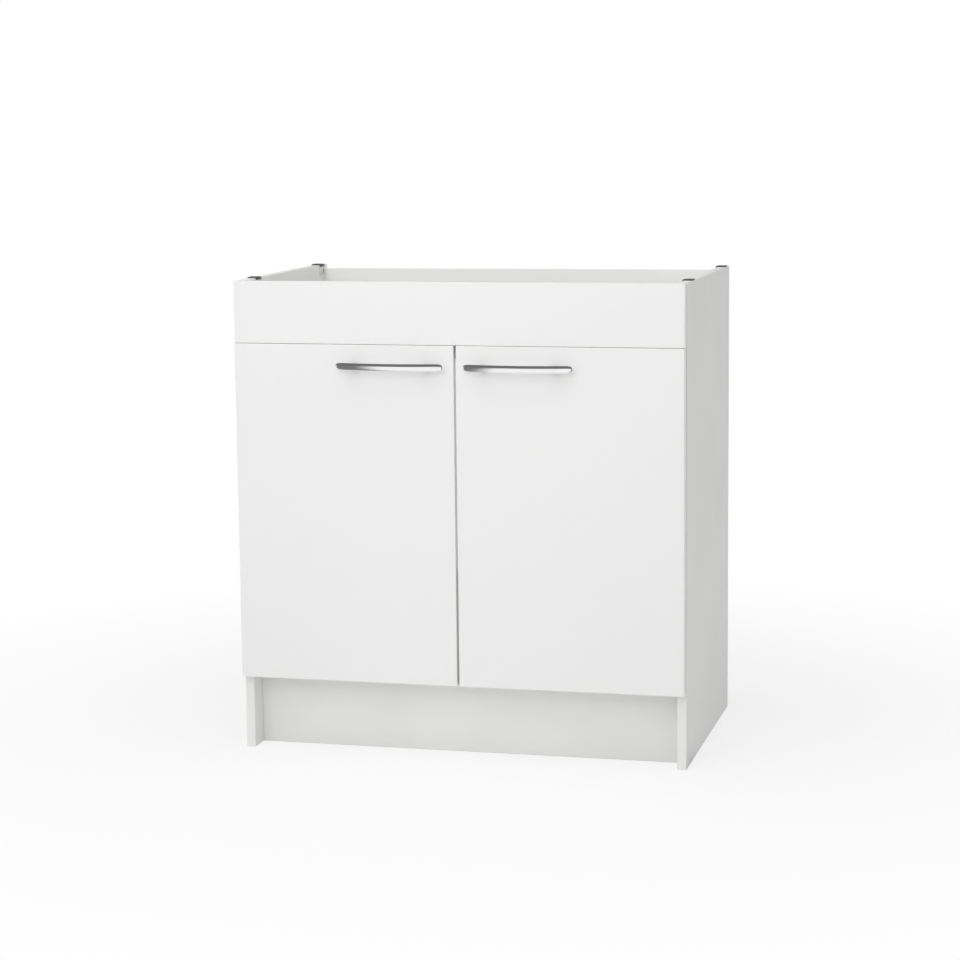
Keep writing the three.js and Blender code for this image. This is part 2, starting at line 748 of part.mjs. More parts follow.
// The bent strip of the arm, seen from above: eye, neck in the cup, bend and crown.
function armProfile() {
  const deep = -(pinForward + eyeRadius);
  const bendX = armCrown - neckBend;
  const bendY = deep + neckBend;
  const innerBend = neckBend - neckThickness;
  const outline = new THREE.Shape();
  outline.moveTo(pinAcross, deep);
  outline.lineTo(bendX, deep);
  outline.absarc(bendX, bendY, neckBend, -Math.PI / 2, 0, false);
  outline.lineTo(armCrown, armRear);
  outline.lineTo(ridgeCrown, armRear);
  outline.lineTo(ridgeCrown, bendY);
  outline.absarc(bendX, bendY, innerBend, 0, -Math.PI / 2, true);
  outline.lineTo(pinAcross, deep + neckThickness);
  outline.closePath();
  return outline;
}

// The arm in plan from the side: narrow where it enters the cup, then as wide as its body.
function armPlan(width) {
  const outline = new THREE.Shape();
  const shoulder = armFront - armTaper;
  const reach = pinForward + cutMargin;
  outline.moveTo(-reach, -eyeWidth / 2);
  outline.lineTo(shoulder, -eyeWidth / 2);
  outline.lineTo(armFront, -width / 2);
  outline.lineTo(armRear + cutMargin, -width / 2);
  outline.lineTo(armRear + cutMargin, width / 2);
  outline.lineTo(armFront, width / 2);
  outline.lineTo(shoulder, eyeWidth / 2);
  outline.lineTo(-reach, eyeWidth / 2);
  outline.closePath();
  return outline;
}

// The slot that lets the arm slide in and out under its screw.
function armSlot() {
  const radius = armScrewRadius + holeClearance;
  const [from, to] = bothEnds.map((sign) => armScrewSetback + sign * armSlotLength / 2);
  const endAt = (y) => rod(radius, [armCrown - cutMargin, y, 0], [armCrown + cutMargin, y, 0]);
  const middle = block(
    [armCrown - cutMargin, from, -radius], [armCrown + cutMargin, to, radius],
  );
  return joinAll([middle, endAt(from), endAt(to)]);
}

// Hinge arm: a pressed strip with an eye for the pin, a channel body over the ridge and the
// adjusting screw threaded in it.
function hingeArm() {
  const width = plateRidge + 2 * (armWall + holeClearance);
  const centred = new THREE.Matrix4().makeTranslation(0, 0, -width / 2);
  const strip = solidOf(plate(armProfile(), width), centred);
  const across = new THREE.Matrix4().makeBasis(yAxis, zAxis, xAxis);
  const outline = solidOf(plate(armPlan(width), armCrown), across);
  const onPin = (radius, half, sides) => rod(
    radius, [pinAcross, -pinForward, -half], [pinAcross, -pinForward, half], sides,
  );
  const cheekFrom = boardThickness + plateWing + hingeAir;
  const cheeks = bothEnds.map((sign) => {
    const walls = [sign * width / 2, sign * (width / 2 - armWall)].sort((a, b) => a - b);
    return block([cheekFrom, armFront, walls[0]], [armCrown, armRear, walls[1]]);
  });
  const onAdjuster = (radius, from, to, sides) => rod(
    radius, [from, adjusterSetback, 0], [to, adjusterSetback, 0], sides,
  );
  const body = joinAll([
    strip.intersect(outline),
    onPin(eyeRadius, eyeWidth / 2, roundSides),
    ...cheeks,
    onAdjuster(armScrewRadius, ridgeCrown - armScrewReach, armCrown, hiddenSides),
    onAdjuster(adjusterHead, ridgeCrown, armCrown + adjusterHeadHeight, holeSides),
  ]);
  return cutAll(body, [onPin(pinRadius + eyeFit, eyeWidth, holeSides), armSlot()]);
}

// The screw that clamps the arm on the ridge.
function armScrew() {
  const along = (radius, from, to, sides) => rod(
    radius, [from, armScrewSetback, 0], [to, armScrewSetback, 0], sides,
  );
  return joinAll([
    along(armScrewHead, armCrown, armCrown + armScrewHeadHeight, holeSides),
    along(armScrewRadius, ridgeCrown - armScrewReach, armCrown, hiddenSides),
  ]);
}

// A body turned about the cup's axis, up from the door's back face.
function cupTurned(outline) {
  const place = new THREE.Matrix4().makeTranslation(cupCentre, -doorStandOff, 0);
  return solidOf(turned(outline, cupSides), place);
}

// Hinge cup: a pressed bowl let into the door, its flange on the door's back with two knock-in
// dowels, and two cheeks inside that hold the pin.
function hingeCup() {
  const mouth = -doorStandOff;
  const flangeTop = mouth + cupFlange;
  const outer = cupTurned([
    [0, -cupDepth], [cupRadius - cupCorner, -cupDepth], [cupRadius, cupCorner - cupDepth],
    [cupRadius, cupFlange / 2], [0, cupFlange / 2],
  ]);
  const inside = cupRadius - cupWall;
  const floor = cupWall - cupDepth;
  const hollow = cupTurned([
    [0, floor], [inside - cupCorner, floor], [inside, floor + cupCorner],
    [inside, cutMargin], [0, cutMargin],
  ]);
  const disc = rod(
    cupRadius + cupFlangeRim, [cupCentre, mouth, 0], [cupCentre, flangeTop, 0], cupSides,
  );
  const dowelX = cupCentre + cupDowelOffset;
  const atDowels = (radius, from, to, sides) => bothEnds.map((sign) => rod(
    radius,
    [dowelX, from, sign * cupDowelPitch / 2],
    [dowelX, to, sign * cupDowelPitch / 2],
    sides,
  ));
  const bridge = block(
    [dowelX - cupLobeRadius, mouth, -cupDowelPitch / 2],
    [dowelX + cupLobeRadius, flangeTop, cupDowelPitch / 2],
  );
  const pressing = joinAll([
    outer,
    disc,
    bridge,
    ...atDowels(cupLobeRadius, mouth, flangeTop, roundSides),
    ...atDowels(dowelRadius, mouth - cupDowelReach, flangeTop, hiddenSides),
    ...atDowels(cupDowelHead, mouth, flangeTop + cupFlange / 2, holeSides),
  ]);
  const bowl = pressing.subtract(hollow);
  const pinY = -pinForward;
  const cheekFrom = eyeWidth / 2 + hingeAir;
  const cheeks = bothEnds.map((sign) => {
    const faces = [sign * cheekFrom, sign * (cheekFrom + cheekThickness)].sort((a, b) => a - b);
    return block(
      [pinAcross - cheekReach, mouth - cupDepth + cupWall / 2, faces[0]],
      [pinAcross + cheekReach, pinY + cheekReach, faces[1]],
    );
  });
  const seated = joinAll(cheeks).intersect(outer);
  const bore = rod(
    pinRadius + pinFit,
    [pinAcross, pinY, -cheekFrom - cheekThickness - cutMargin],
    [pinAcross, pinY, cheekFrom + cheekThickness + cutMargin],
    holeSides,
  );
  const boreInside = bore.intersect(joinAll([hollow, ...cheeks]));
  return bowl.add(seated).subtract(boreInside);
}

// Hinge pin between the cheeks of the cup.
function hingePin() {
  const half = eyeWidth / 2 + hingeAir + cheekThickness;
  return rod(pinRadius, [pinAcross, -pinForward, -half], [pinAcross, -pinForward, half]);
}

function hinges() {
  const group = new THREE.Group();
  const shapes = {
    plate: geometryOf(hingePlate()),
    arm: geometryOf(hingeArm()),
    screw: geometryOf(armScrew()),
    cup: geometryOf(hingeCup()),
    pin: geometryOf(hingePin()),
  };
  for (const [side, sign] of [['left', -1], ['right', 1]]) {
    for (const [row, z] of Object.entries(hingeHeights)) {
      const hinge = new THREE.Group();
      hinge.position.set(sign * cabinetWidth / 2, 0, z);
      hinge.rotation.y = sign < 0 ? 0 : Math.PI;
      for (const [piece, geometry] of Object.entries(shapes)) {
        hinge.add(meshOf(`hinge_${piece}_${row}_${side}`, geometry, platedSteel));
      }
      group.add(hinge);
    }
  }
  return group;
}

const cabinet = new THREE.Group();
cabinet.position.y = (frontReach - carcassDepth) / 2;
cabinet.add(sidePanel('side_panel_left', -1), sidePanel('side_panel_right', 1));
cabinet.add(bottomPanel(), ...rails.map(uprightRail), plinthBoard());
cabinet.add(plinthBracket('plinth_bracket_left', -1), plinthBracket('plinth_bracket_right', 1));
cabinet.add(camLocks(), ...sinkClips());
cabinet.add(fascia(), ...fasciaScrews(), ...doorBuffers());
cabinet.add(door('left', -1), door('right', 1), hinges());

export default cabinet;
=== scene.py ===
"""Looks of a white kitchen sink base cabinet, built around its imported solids.

All sizes are in metres, in the frame of the solids: X to the right seen from the front, Y to the
back, Z up, with the origin on the floor.
"""

import logging
import math
from collections.abc import Callable, Sequence
from dataclasses import dataclass, field, replace
from enum import Enum

import bmesh
import bpy
from mathutils import Matrix, Vector


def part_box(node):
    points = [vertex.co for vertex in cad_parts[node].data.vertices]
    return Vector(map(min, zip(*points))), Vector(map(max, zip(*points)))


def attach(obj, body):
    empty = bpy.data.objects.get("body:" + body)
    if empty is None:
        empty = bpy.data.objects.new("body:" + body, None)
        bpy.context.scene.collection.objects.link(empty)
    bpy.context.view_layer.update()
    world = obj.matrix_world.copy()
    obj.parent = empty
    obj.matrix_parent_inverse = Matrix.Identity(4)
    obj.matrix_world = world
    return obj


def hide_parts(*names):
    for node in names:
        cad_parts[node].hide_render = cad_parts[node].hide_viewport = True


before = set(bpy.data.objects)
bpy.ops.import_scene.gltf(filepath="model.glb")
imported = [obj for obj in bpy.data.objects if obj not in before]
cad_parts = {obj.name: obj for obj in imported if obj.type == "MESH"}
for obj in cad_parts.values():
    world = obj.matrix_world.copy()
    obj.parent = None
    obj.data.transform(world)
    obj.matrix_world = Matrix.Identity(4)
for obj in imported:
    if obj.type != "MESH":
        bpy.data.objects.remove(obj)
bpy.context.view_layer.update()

log = logging.getLogger("sink_cabinet")

MM = 0.001
PHOTO_PIXELS = 960
SENSOR_WIDTH_MM = 36.0
MERGE_DISTANCE = 1e-6  # corners of a solid closer than this are one
FLAT_ANGLE = 0.6  # degrees up to which two triangles of a solid are one flat face
EASED_ANGLE = 38.0  # degrees from which an edge between eased faces stays sharp
SPARED = 0.8  # how much of a darker tone's darkening its spared channel takes
WARM_GREEN = 0.3  # how much of the blue that warmth takes it also takes of the green
MIX_COLOURS = (6, 7)  # places of the two colour inputs of a Mix node
MIX_RESULT = 2  # place of its colour output

Point = tuple[float, float, float]
Colour = tuple[float, float, float, float]
Piece = bpy.types.Object
Material = bpy.types.Material
Node = bpy.types.Node
Socket = bpy.types.NodeSocket
Tree = bpy.types.NodeTree

ORIGIN: Point = (0, 0, 0)
DOWN: Point = (0, 0, -1)
BACK: Point = (0, 1, 0)


class Side(Enum):
    """Left and right half of the cabinet, seen from the front."""

    LEFT = "left"
    RIGHT = "right"

    @property
    def sign(self) -> int:
        """-1 on the left and 1 on the right."""
        return -1 if self is Side.LEFT else 1

    def inner_face(self, node: str) -> float:
        """X of the side of a solid that is nearer to the cabinet's middle."""
        return self.sign * min(abs(corner.x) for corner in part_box(node))

    def outer_face(self, node: str) -> float:
        """X of the side of a solid that is farther from the cabinet's middle."""
        return self.sign * max(abs(corner.x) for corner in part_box(node))


class Row(Enum):
    """Lower and upper one of a pair."""

    LOWER = "lower"
    UPPER = "upper"

    @property
    def sign(self) -> int:
        """-1 for the lower and 1 for the upper."""
        return -1 if self is Row.LOWER else 1


class End(Enum):
    """Front and rear end of a side panel."""

    FRONT = "front"
    REAR = "rear"


class Foot(Enum):
    """Foot of a handle, nearer to or farther from the gap between the doors."""

    INNER = "inner"
    OUTER = "outer"


class Element(Enum):
    """What edit mode selects, with the name of its list in a mesh."""

    FACE = "faces"
    EDGE = "edges"


class Kind(Enum):
    """Kinds of value that go into and come out of a shared effect."""

    NUMBER = "NodeSocketFloat"
    VECTOR = "NodeSocketVector"
    COLOUR = "NodeSocketColor"


def grey(value: float, warmth: float = 0.0) -> Colour:
    """A near-neutral linear colour; a positive warmth takes a little blue out."""
    return (value, value * (1 - warmth * WARM_GREEN), value * (1 - warmth), 1.0)


def box_middle(node: str) -> Vector:
    """Middle of a solid's box."""
    return Vector([(low + high) / 2 for low, high in zip(*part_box(node))])


# ------ Shader graphs ------


@dataclass
class Graph:
    """A node tree that is filled node by node.

    Attributes:
        tree: The shader tree of a material, world or node group.
    """

    tree: Tree

    def feed(self, value: object, target: Socket) -> None:
        """Join an output to an input, or set a plain value on it.

        Args:
            value: The output or the plain value.
            target: The input.
        """
        if isinstance(value, Socket):
            self.tree.links.new(value, target)
        else:
            target.default_value = value

    def fill(self, node: Node, **values: object) -> Node:
        """Feed a node's inputs by name.

        Args:
            node: The node.
            values: Outputs or plain values by input name, with _ for a space.

        Returns:
            The node.
        """
        for name, value in values.items():
            self.feed(value, node.inputs[name.replace("_", " ")])
        return node

    def add(self, kind: str, *values: object, **settings: object) -> Node:
        """Add a node, set its properties and feed its first inputs.

        Args:
            kind: The node's type, without the ShaderNode prefix.
            values: Outputs or plain values for its inputs, in order.
            settings: Properties to set on the node.

        Returns:
            The new node.
        """
        node = self.tree.nodes.new("ShaderNode" + kind)
        for name, value in settings.items():
            setattr(node, name, value)
        for value, target in zip(values, node.inputs):
            self.feed(value, target)
        return node

    def math(self, operation: str, *values: object) -> Socket:
        """Add a math node on outputs or numbers and return its result."""
        return self.add("Math", *values, operation=operation).outputs[0]

    def vector(self, operation: str, *values: object) -> Socket:
        """Add a vector math node and return the vector that it makes."""
        return self.add("VectorMath", *values, operation=operation).outputs["Vector"]

    def measure(self, operation: str, *values: object) -> Socket:
        """Add a vector math node and return the number that it makes."""
        return self.add("VectorMath", *values, operation=operation).outputs["Value"]

    def ramp(
        self, value: Socket, low: object, high: object, start: object = 0.0, end: object = 1.0,
    ) -> Socket:
        """Map the range from low to high smoothly to the range from start to end."""
        ends = (low, high, start, end)
        return self.add("MapRange", value, *ends, interpolation_type="SMOOTHSTEP").outputs[0]

    def raised(self, base: object, mask: Socket, share: float) -> Socket:
        """A value raised by a share of a mask."""
        return self.math("ADD", base, self.math("MULTIPLY", mask, share))

    def blend(self, factor: object, first: object, second: object) -> Socket:
        """Mix two colours.

        Args:
            factor: Share of the second colour.
            first: The colour at 0.
            second: The colour at 1.

        Returns:
            The mixed colour.
        """
        node = self.add("Mix", factor, data_type="RGBA")
        for colour, place in zip((first, second), MIX_COLOURS):
            self.feed(colour, node.inputs[place])
        return node.outputs[MIX_RESULT]

    def noise(
        self, place: Socket, scale: object, detail: float = 2.0, roughness: float = 0.5,
    ) -> Socket:
        """Add a noise texture and return its value."""
        node = self.add("TexNoise")
        return self.fill(
            node, Vector=place, Scale=scale, Detail=detail, Roughness=roughness
        ).outputs[0]


class Effect(Graph):
    """A shared node group under construction.

    Attributes:
        given: The group's inputs, to be read by name.
        result: The node that takes the group's outputs.
    """

    def __init__(
        self, name: str, inputs: dict[str, float | Point], outputs: dict[str, Kind],
    ) -> None:
        """Start the group.

        Args:
            name: Name of the group.
            inputs: Default of each input beside the coordinates, by name.
            outputs: Kind of each output, by name.
        """
        super().__init__(bpy.data.node_groups.new(name, "ShaderNodeTree"))
        sockets = self.tree.interface
        for label, default in {"Vector": ORIGIN, **inputs}.items():
            kind = Kind.NUMBER if isinstance(default, float) else Kind.VECTOR
            socket = sockets.new_socket(label, in_out="INPUT", socket_type=kind.value)
            socket.default_value = default
        for label, kind in outputs.items():
            sockets.new_socket(label, in_out="OUTPUT", socket_type=kind.value)
        self.given = self.tree.nodes.new("NodeGroupInput").outputs
        self.result = self.tree.nodes.new("NodeGroupOutput")


class Effects:
    """The node groups that several finishes share, each built once."""

    def __init__(self) -> None:
        """Build every group."""
        self.skin = self._skin()
        self.edges = self._edges()
        self.smudge = self._smudge()
        self.chipboard = self._chipboard()
        self.scratches = self._scratches()

    @staticmethod
    def _skin() -> Tree:
        """Fine surface relief with a slow, faint change of tone over it.

        Returns:
            The group.
        """
        skin = Effect("Fine skin", {"Scale": 900.0}, {"Height": Kind.NUMBER, "Tone": Kind.NUMBER})
        place, scale = skin.given["Vector"], skin.given["Scale"]
        slow_scale = skin.math("MULTIPLY", scale, 0.006)
        skin.fill(
            skin.result, Height=skin.noise(place, scale, detail=3.0, roughness=0.55),
            Tone=skin.ramp(skin.noise(place, slow_scale), low=0.3, high=0.7),
        )
        return skin.tree

    @staticmethod
    def _edges() -> Tree:
        """Lines and zones along the edges of a board, from its box.

        Seam is a hairline at a set distance from the edges, on the board's two wide faces.
        Rim is a soft zone along every edge, broken up by noise.

        Returns:
            The group.
        """
        edges = Effect(
            "Board edges",
            {
                "Normal": (0, 0, 1), "Low": ORIGIN, "High": (1, 1, 1), "Across": (1, 0, 0),
                "Seam Distance": 0.001, "Seam Width": 0.00012, "Rim Width": 0.0012,
            },
            {"Seam": Kind.NUMBER, "Rim": Kind.NUMBER},
        )
        given = edges.given
        above = edges.vector("SUBTRACT", given["Vector"], given["Low"])
        below = edges.vector("SUBTRACT", given["High"], given["Vector"])
        x, y, z = edges.add("SeparateXYZ", edges.vector("MINIMUM", above, below)).outputs
        total = edges.math("ADD", edges.math("ADD", x, y), z)
        least = edges.math("MINIMUM", edges.math("MINIMUM", x, y), z)
        most = edges.math("MAXIMUM", edges.math("MAXIMUM", x, y), z)
        middle = edges.math("SUBTRACT", edges.math("SUBTRACT", total, least), most)
        off_seam = edges.math("ABSOLUTE", edges.math("SUBTRACT", middle, given["Seam Distance"]))
        line = edges.ramp(off_seam, 0.0, given["Seam Width"], start=1.0, end=0.0)
        facing = edges.math(
            "ABSOLUTE", edges.measure("DOT_PRODUCT", given["Normal"], given["Across"])
        )
        rim = edges.ramp(middle, 0.0, given["Rim Width"], start=1.0, end=0.0)
        patches = edges.noise(given["Vector"], scale=60.0, detail=4.0, roughness=0.6)
        edges.fill(
            edges.result,
            Seam=edges.math("MULTIPLY", line, edges.ramp(facing, low=0.8, high=0.95)),
            Rim=edges.math("MULTIPLY", rim, edges.ramp(patches, low=0.42, high=0.62)),
        )
        return edges.tree

    @staticmethod
    def _smudge() -> Tree:
        """Soft patches such as wiped prints leave on a smooth surface.

        Returns:
            The group.
        """
        smudge = Effect("Smudges", {"Scale": 30.0}, {"Mask": Kind.NUMBER})
        place, scale = smudge.given["Vector"], smudge.given["Scale"]
        patches = smudge.noise(place, scale, detail=3.0, roughness=0.6)
        fine_scale = smudge.math("MULTIPLY", scale, 6.0)
        both = smudge.math(
            "MULTIPLY", smudge.ramp(patches, low=0.45, high=0.75),
            smudge.ramp(smudge.noise(place, fine_scale), low=0.3, high=0.7),
        )
        smudge.fill(smudge.result, Mask=both)
        return smudge.tree

    @staticmethod
    def _chipboard() -> Tree:
        """Pressed wood chips, as a cut and unbanded edge shows them.

        Returns:
            The group.
        """
        board = Effect(
            "Chipboard", {"Scale": 520.0}, {"Colour": Kind.COLOUR, "Height": Kind.NUMBER}
        )
        place = board.given["Vector"]
        dark, pale, hollow = (0.45, 0.32, 0.19, 1), (0.74, 0.6, 0.43, 1), (0.26, 0.17, 0.09, 1)
        pushed = board.add("VectorMath", place, operation="SCALE")
        warp = board.noise(place, scale=240.0)
        board.fill(pushed, Scale=board.ramp(warp, 0.0, 1.0, start=0.985, end=1.015))
        chips = board.add("TexVoronoi")
        board.fill(chips, Vector=pushed.outputs[0], Scale=board.given["Scale"])
        tone, depth, _ = board.add("SeparateColor", chips.outputs["Color"]).outputs
        grain = board.noise(place, scale=2600.0, detail=3.0)
        pores = board.ramp(grain, low=0.5, high=0.75, end=0.4)
        board.fill(
            board.result, Colour=board.blend(pores, board.blend(tone, dark, pale), hollow),
            Height=board.math("ADD", depth, grain),
        )
        return board.tree

    @staticmethod
    def _scratches() -> Tree:
        """Fine parallel marks, stretched along one axis by the Stretch vector.

        Returns:
            The group.
        """
        marks = Effect(
            "Fine scratches", {"Stretch": (1, 1, 0.03), "Scale": 1600.0}, {"Mask": Kind.NUMBER}
        )
        stretched = marks.vector("MULTIPLY", marks.given["Vector"], marks.given["Stretch"])
        lines = marks.noise(stretched, marks.given["Scale"], detail=4.0, roughness=0.7)
        marks.fill(marks.result, Mask=marks.ramp(lines, low=0.35, high=0.7))
        return marks.tree


EFFECTS = Effects()


class Surface(Graph):
    """A material under construction.

    Attributes:
        material: The material.
        shader: Its shader.
        place: Its coordinates.
        normal: The direction of the surface.
    """

    def __init__(self, name: str) -> None:
        """Start the material.

        Args:
            name: Its name.
        """
        self.material = bpy.data.materials.new(name)
        self.material.use_nodes = True
        super().__init__(self.material.node_tree)
        self.shader = self.tree.nodes["Principled BSDF"]
        source = self.add("TexCoord")
        self.place = source.outputs["Object"]
        self.normal = source.outputs["Normal"]

    def effect(self, group: Tree, **values: object) -> bpy.types.bpy_prop_collection:
        """Place a shared effect in the material.

        Args:
            group: The effect.
            values: Outputs or plain values by input name, with _ for a space.

        Returns:
            The effect's outputs.
        """
        node = self.add("Group", node_tree=group)
        return self.fill(node, Vector=self.place, **values).outputs

    def finished(
        self, colour: Socket, roughness: Socket, height: Socket, depth: float,
    ) -> Material:
        """Feed the shader.

        Args:
            colour: The base colour.
            roughness: The roughness.
            height: The height of a fine relief.
            depth: The depth of that relief.

        Returns:
            The material.
        """
        bump = self.fill(self.add("Bump"), Strength=1.0, Distance=depth, Height=height)
        self.fill(self.shader, Base_Color=colour, Roughness=roughness, Normal=bump.outputs[0])
        return self.material


@dataclass(frozen=True)
class Finish:
    """What every finish has in common.

    Attributes:
        name: Name of the material.
        colour: Main colour, linear.
        roughness: Main roughness.
        metallic: 1 for bare metal.
        coat: Weight of the clear coat.
        coat_roughness: Roughness of the clear coat.
        smudge_scale: Scale of the smudges.
        smudge_share: Roughness that a smudge adds.
    """

    name: str
    colour: Colour
    roughness: float
    metallic: float = 0.0
    coat: float = 0.0
    coat_roughness: float = 0.1
    smudge_scale: float = 30.0
    smudge_share: float = 0.1

    def start(self) -> tuple[Surface, Socket, Socket]:
        """Start the material with its plain values.

        Returns:
            The material under construction, its smudges and its roughness with them.
        """
        surface = Surface(self.name)
        surface.fill(
            surface.shader, Base_Color=self.colour, Roughness=self.roughness,
            Metallic=self.metallic, Coat_Weight=self.coat, Coat_Roughness=self.coat_roughness,
        )
        surface.material.diffuse_color = self.colour
        smudge = surface.effect(EFFECTS.smudge, Scale=self.smudge_scale)["Mask"]
        return surface, smudge, surface.raised(self.roughness, smudge, self.smudge_share)

    def darker(self, *shares: float) -> Colour:
        """The main colour less a share of its red, green and blue."""
        return (*(level * (1 - share) for level, share in zip(self.colour, shares)), 1.0)


@dataclass(frozen=True)
class BoardFinish(Finish):
    """White decor paper or film on chipboard, with banded edges.

    Attributes:
        low: Lowest corner of the board.
        high: Highest corner of the board.
        across: Direction of the board's thickness.
        raw: Directions of the edges that show bare chipboard.
        skin_scale: Scale of the surface relief.
        skin_depth: Depth of the surface relief.
        tint: How far the tone wanders, 0 to 1.
        seam: Strength and colour of the joint between face and edge band.
        rim: Strength and colour of the handling marks along the edges.
        raw_roughness: Roughness of bare chipboard.
    """

    smudge_scale: float = 9.0
    smudge_share: float = 0.07
    low: Point = ORIGIN
    high: Point = (1, 1, 1)
    across: Point = BACK
    raw: Sequence[Point] = ()
    skin_scale: float = 900.0
    skin_depth: float = 0.00004
    tint: float = 0.035
    seam: tuple[float, Colour] = (0.3, grey(0.32, warmth=0.1))
    rim: tuple[float, Colour] = (0.1, grey(0.5, warmth=0.12))
    raw_roughness: float = 0.85

    def fitted(self, node: str, across: Point, raw: Sequence[Point] = ()) -> Material:
        """Build the material for one board.

        Args:
            node: The board's solid.
            across: Direction of the board's thickness.
            raw: Directions of the edges that show bare chipboard.

        Returns:
            The material.
        """
        low, high = (tuple(corner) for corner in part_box(node))
        name = f"{self.name} {node}"
        return replace(self, name=name, low=low, high=high, across=across, raw=raw).build()

    def build(self) -> Material:
        """Build the material.

        Returns:
            The material.
        """
        surface, _, rough = self.start()
        skin = surface.effect(EFFECTS.skin, Scale=self.skin_scale)
        edges = surface.effect(
            EFFECTS.edges, Normal=surface.normal, Low=self.low, High=self.high,
            Across=self.across,
        )
        cooler = self.darker(self.tint, self.tint * SPARED, self.tint)
        colour = surface.blend(skin["Tone"], self.colour, cooler)
        for line, (strength, shade) in (("Seam", self.seam), ("Rim", self.rim)):
            colour = surface.blend(surface.math("MULTIPLY", edges[line], strength), colour, shade)
        height = skin["Height"]
        for direction in self.raw:
            chips = surface.effect(EFFECTS.chipboard)
            facing = surface.measure("DOT_PRODUCT", surface.normal, direction)
            bare = surface.ramp(facing, low=0.93, high=0.97)
            colour = surface.blend(bare, colour, chips["Colour"])
            rough = surface.ramp(bare, 0.0, 1.0, start=rough, end=self.raw_roughness)
            height = surface.ramp(bare, 0.0, 1.0, start=height, end=chips["Height"])
        return surface.finished(colour, rough, height, self.skin_depth)


@dataclass(frozen=True)
class MetalFinish(Finish):
    """Bare or plated metal.

    Attributes:
        mark_scale: Scale of the fine marks.
        mark_depth: Depth of the fine marks.
        mark_share: Roughness that a mark adds, against a smudge's.
        dull: Share of duller tone in the smudges.
        stretch: Direction of the fine marks, by how each axis is squeezed.
    """

    metallic: float = 1.0
    smudge_scale: float = 55.0
    mark_scale: float = 1600.0
    mark_depth: float = 0.00001
    mark_share: float = 0.5
    dull: float = 0.12
    stretch: Point = (1.0, 1.0, 1.0)

    def build(self) -> Material:
        """Build the material.

        Returns:
            The material.
        """
        surface, smudge, rough = self.start()
        scratches = surface.effect(EFFECTS.scratches, Stretch=self.stretch, Scale=self.mark_scale)
        marks = scratches["Mask"]
        duller = self.darker(self.dull, self.dull, self.dull * SPARED)
        colour = surface.blend(smudge, self.colour, duller)
        rougher = surface.raised(rough, marks, self.smudge_share * self.mark_share)
        return surface.finished(colour, rougher, marks, self.mark_depth)


@dataclass(frozen=True)
class MouldedFinish(Finish):
    """Moulded plastic or rubber with a fine eroded skin.

    Attributes:
        skin_scale: Scale of the skin.
        skin_depth: Depth of the skin.
        tint: How far the tone wanders.
        transmission: Share of light let through.
    """

    smudge_scale: float = 120.0
    smudge_share: float = 0.12
    skin_scale: float = 1800.0
    skin_depth: float = 0.00004
    tint: float = 0.05
    transmission: float = 0.0

    def build(self) -> Material:
        """Build the material.

        Returns:
            The material.
        """
        surface, _, rough = self.start()
        skin = surface.effect(EFFECTS.skin, Scale=self.skin_scale)
        darker = self.darker(self.tint, self.tint, self.tint)
        colour = surface.blend(skin["Tone"], self.colour, darker)
        surface.fill(surface.shader, Transmission_Weight=self.transmission)
        return surface.finished(colour, rough, skin["Height"], self.skin_depth)


CARCASS_WHITE = BoardFinish("Carcass board", (0.868, 0.87, 0.86, 1), roughness=0.46)
FRONT_WHITE = BoardFinish(
    "Front", (0.865, 0.868, 0.862, 1), roughness=0.3, coat=0.12, coat_roughness=0.18,
    skin_scale=260.0, skin_depth=0.00005, tint=0.02,
)
POLISHED = MetalFinish(
    "Polished chrome", grey(0.89), roughness=0.06, mark_scale=2600.0, mark_depth=0.000002,
    smudge_share=0.05, dull=0.05,
)
NICKEL = MetalFinish(
    "Nickel plating", (0.66, 0.65, 0.63, 1), roughness=0.2, mark_scale=3200.0,
    mark_depth=0.000003, smudge_share=0.06, dull=0.08, stretch=(1.0, 0.15, 1.0),
)
ZINC = MetalFinish(
    "Cast zinc", (0.46, 0.47, 0.475, 1), roughness=0.42, mark_scale=2200.0,
    mark_depth=0.00004, smudge_share=0.14, dull=0.25,
)
DARK_PLASTIC = MouldedFinish("Dark grey plastic", grey(0.085), roughness=0.5, tint=0.2)
PALE_PLASTIC = MouldedFinish("Off-white plastic", grey(0.72, warmth=0.05), roughness=0.42)
SOFT_BUFFER = MouldedFinish(
    "Soft clear buffer", grey(0.72, warmth=0.03), roughness=0.3, tint=0.04,
    transmission=0.35, coat=0.3,
)


# ------ Modelling by operators ------


def object_mode() -> None:
    """Leave edit mode if it is on."""
    active = bpy.context.view_layer.objects.active
    if active is not None and active.mode != "OBJECT":
        bpy.ops.object.mode_set(mode="OBJECT")


def pick(*pieces: Piece) -> None:
    """Select only these objects, in object mode.

    Args:
        pieces: The objects, the one to be active first.
    """
    object_mode()
    bpy.ops.object.select_all(action="DESELECT")
    for piece in pieces:
        piece.select_set(True)
    bpy.context.view_layer.objects.active = pieces[0]


def apply_place(piece: Piece) -> None:
    """Put the object's place, turn and size into its mesh."""
    pick(piece)
    bpy.ops.object.transform_apply(location=True, rotation=True, scale=True)


def primitive(
    operator: Callable[..., object], scale: Point = (1, 1, 1), **settings: object,
) -> Piece:
    """Add a primitive and put its place in its mesh.

    Args:
        operator: The operator that adds it.
        scale: Its scale along its own axes.
        settings: Its size, place and turn.

    Returns:
        The new piece.
    """
    object_mode()
    bpy.ops.object.select_all(action="DESELECT")
    operator(**settings)
    piece = bpy.context.active_object
    piece.scale = scale
    apply_place(piece)
    return piece


def edit(piece: Piece, action: str = "DESELECT") -> None:
    """Open a piece in edit mode.

    Args:
        piece: The object.
        action: SELECT to have all of it selected.
    """
    pick(piece)
    bpy.ops.object.mode_set(mode="EDIT")
    bpy.ops.mesh.select_all(action=action)


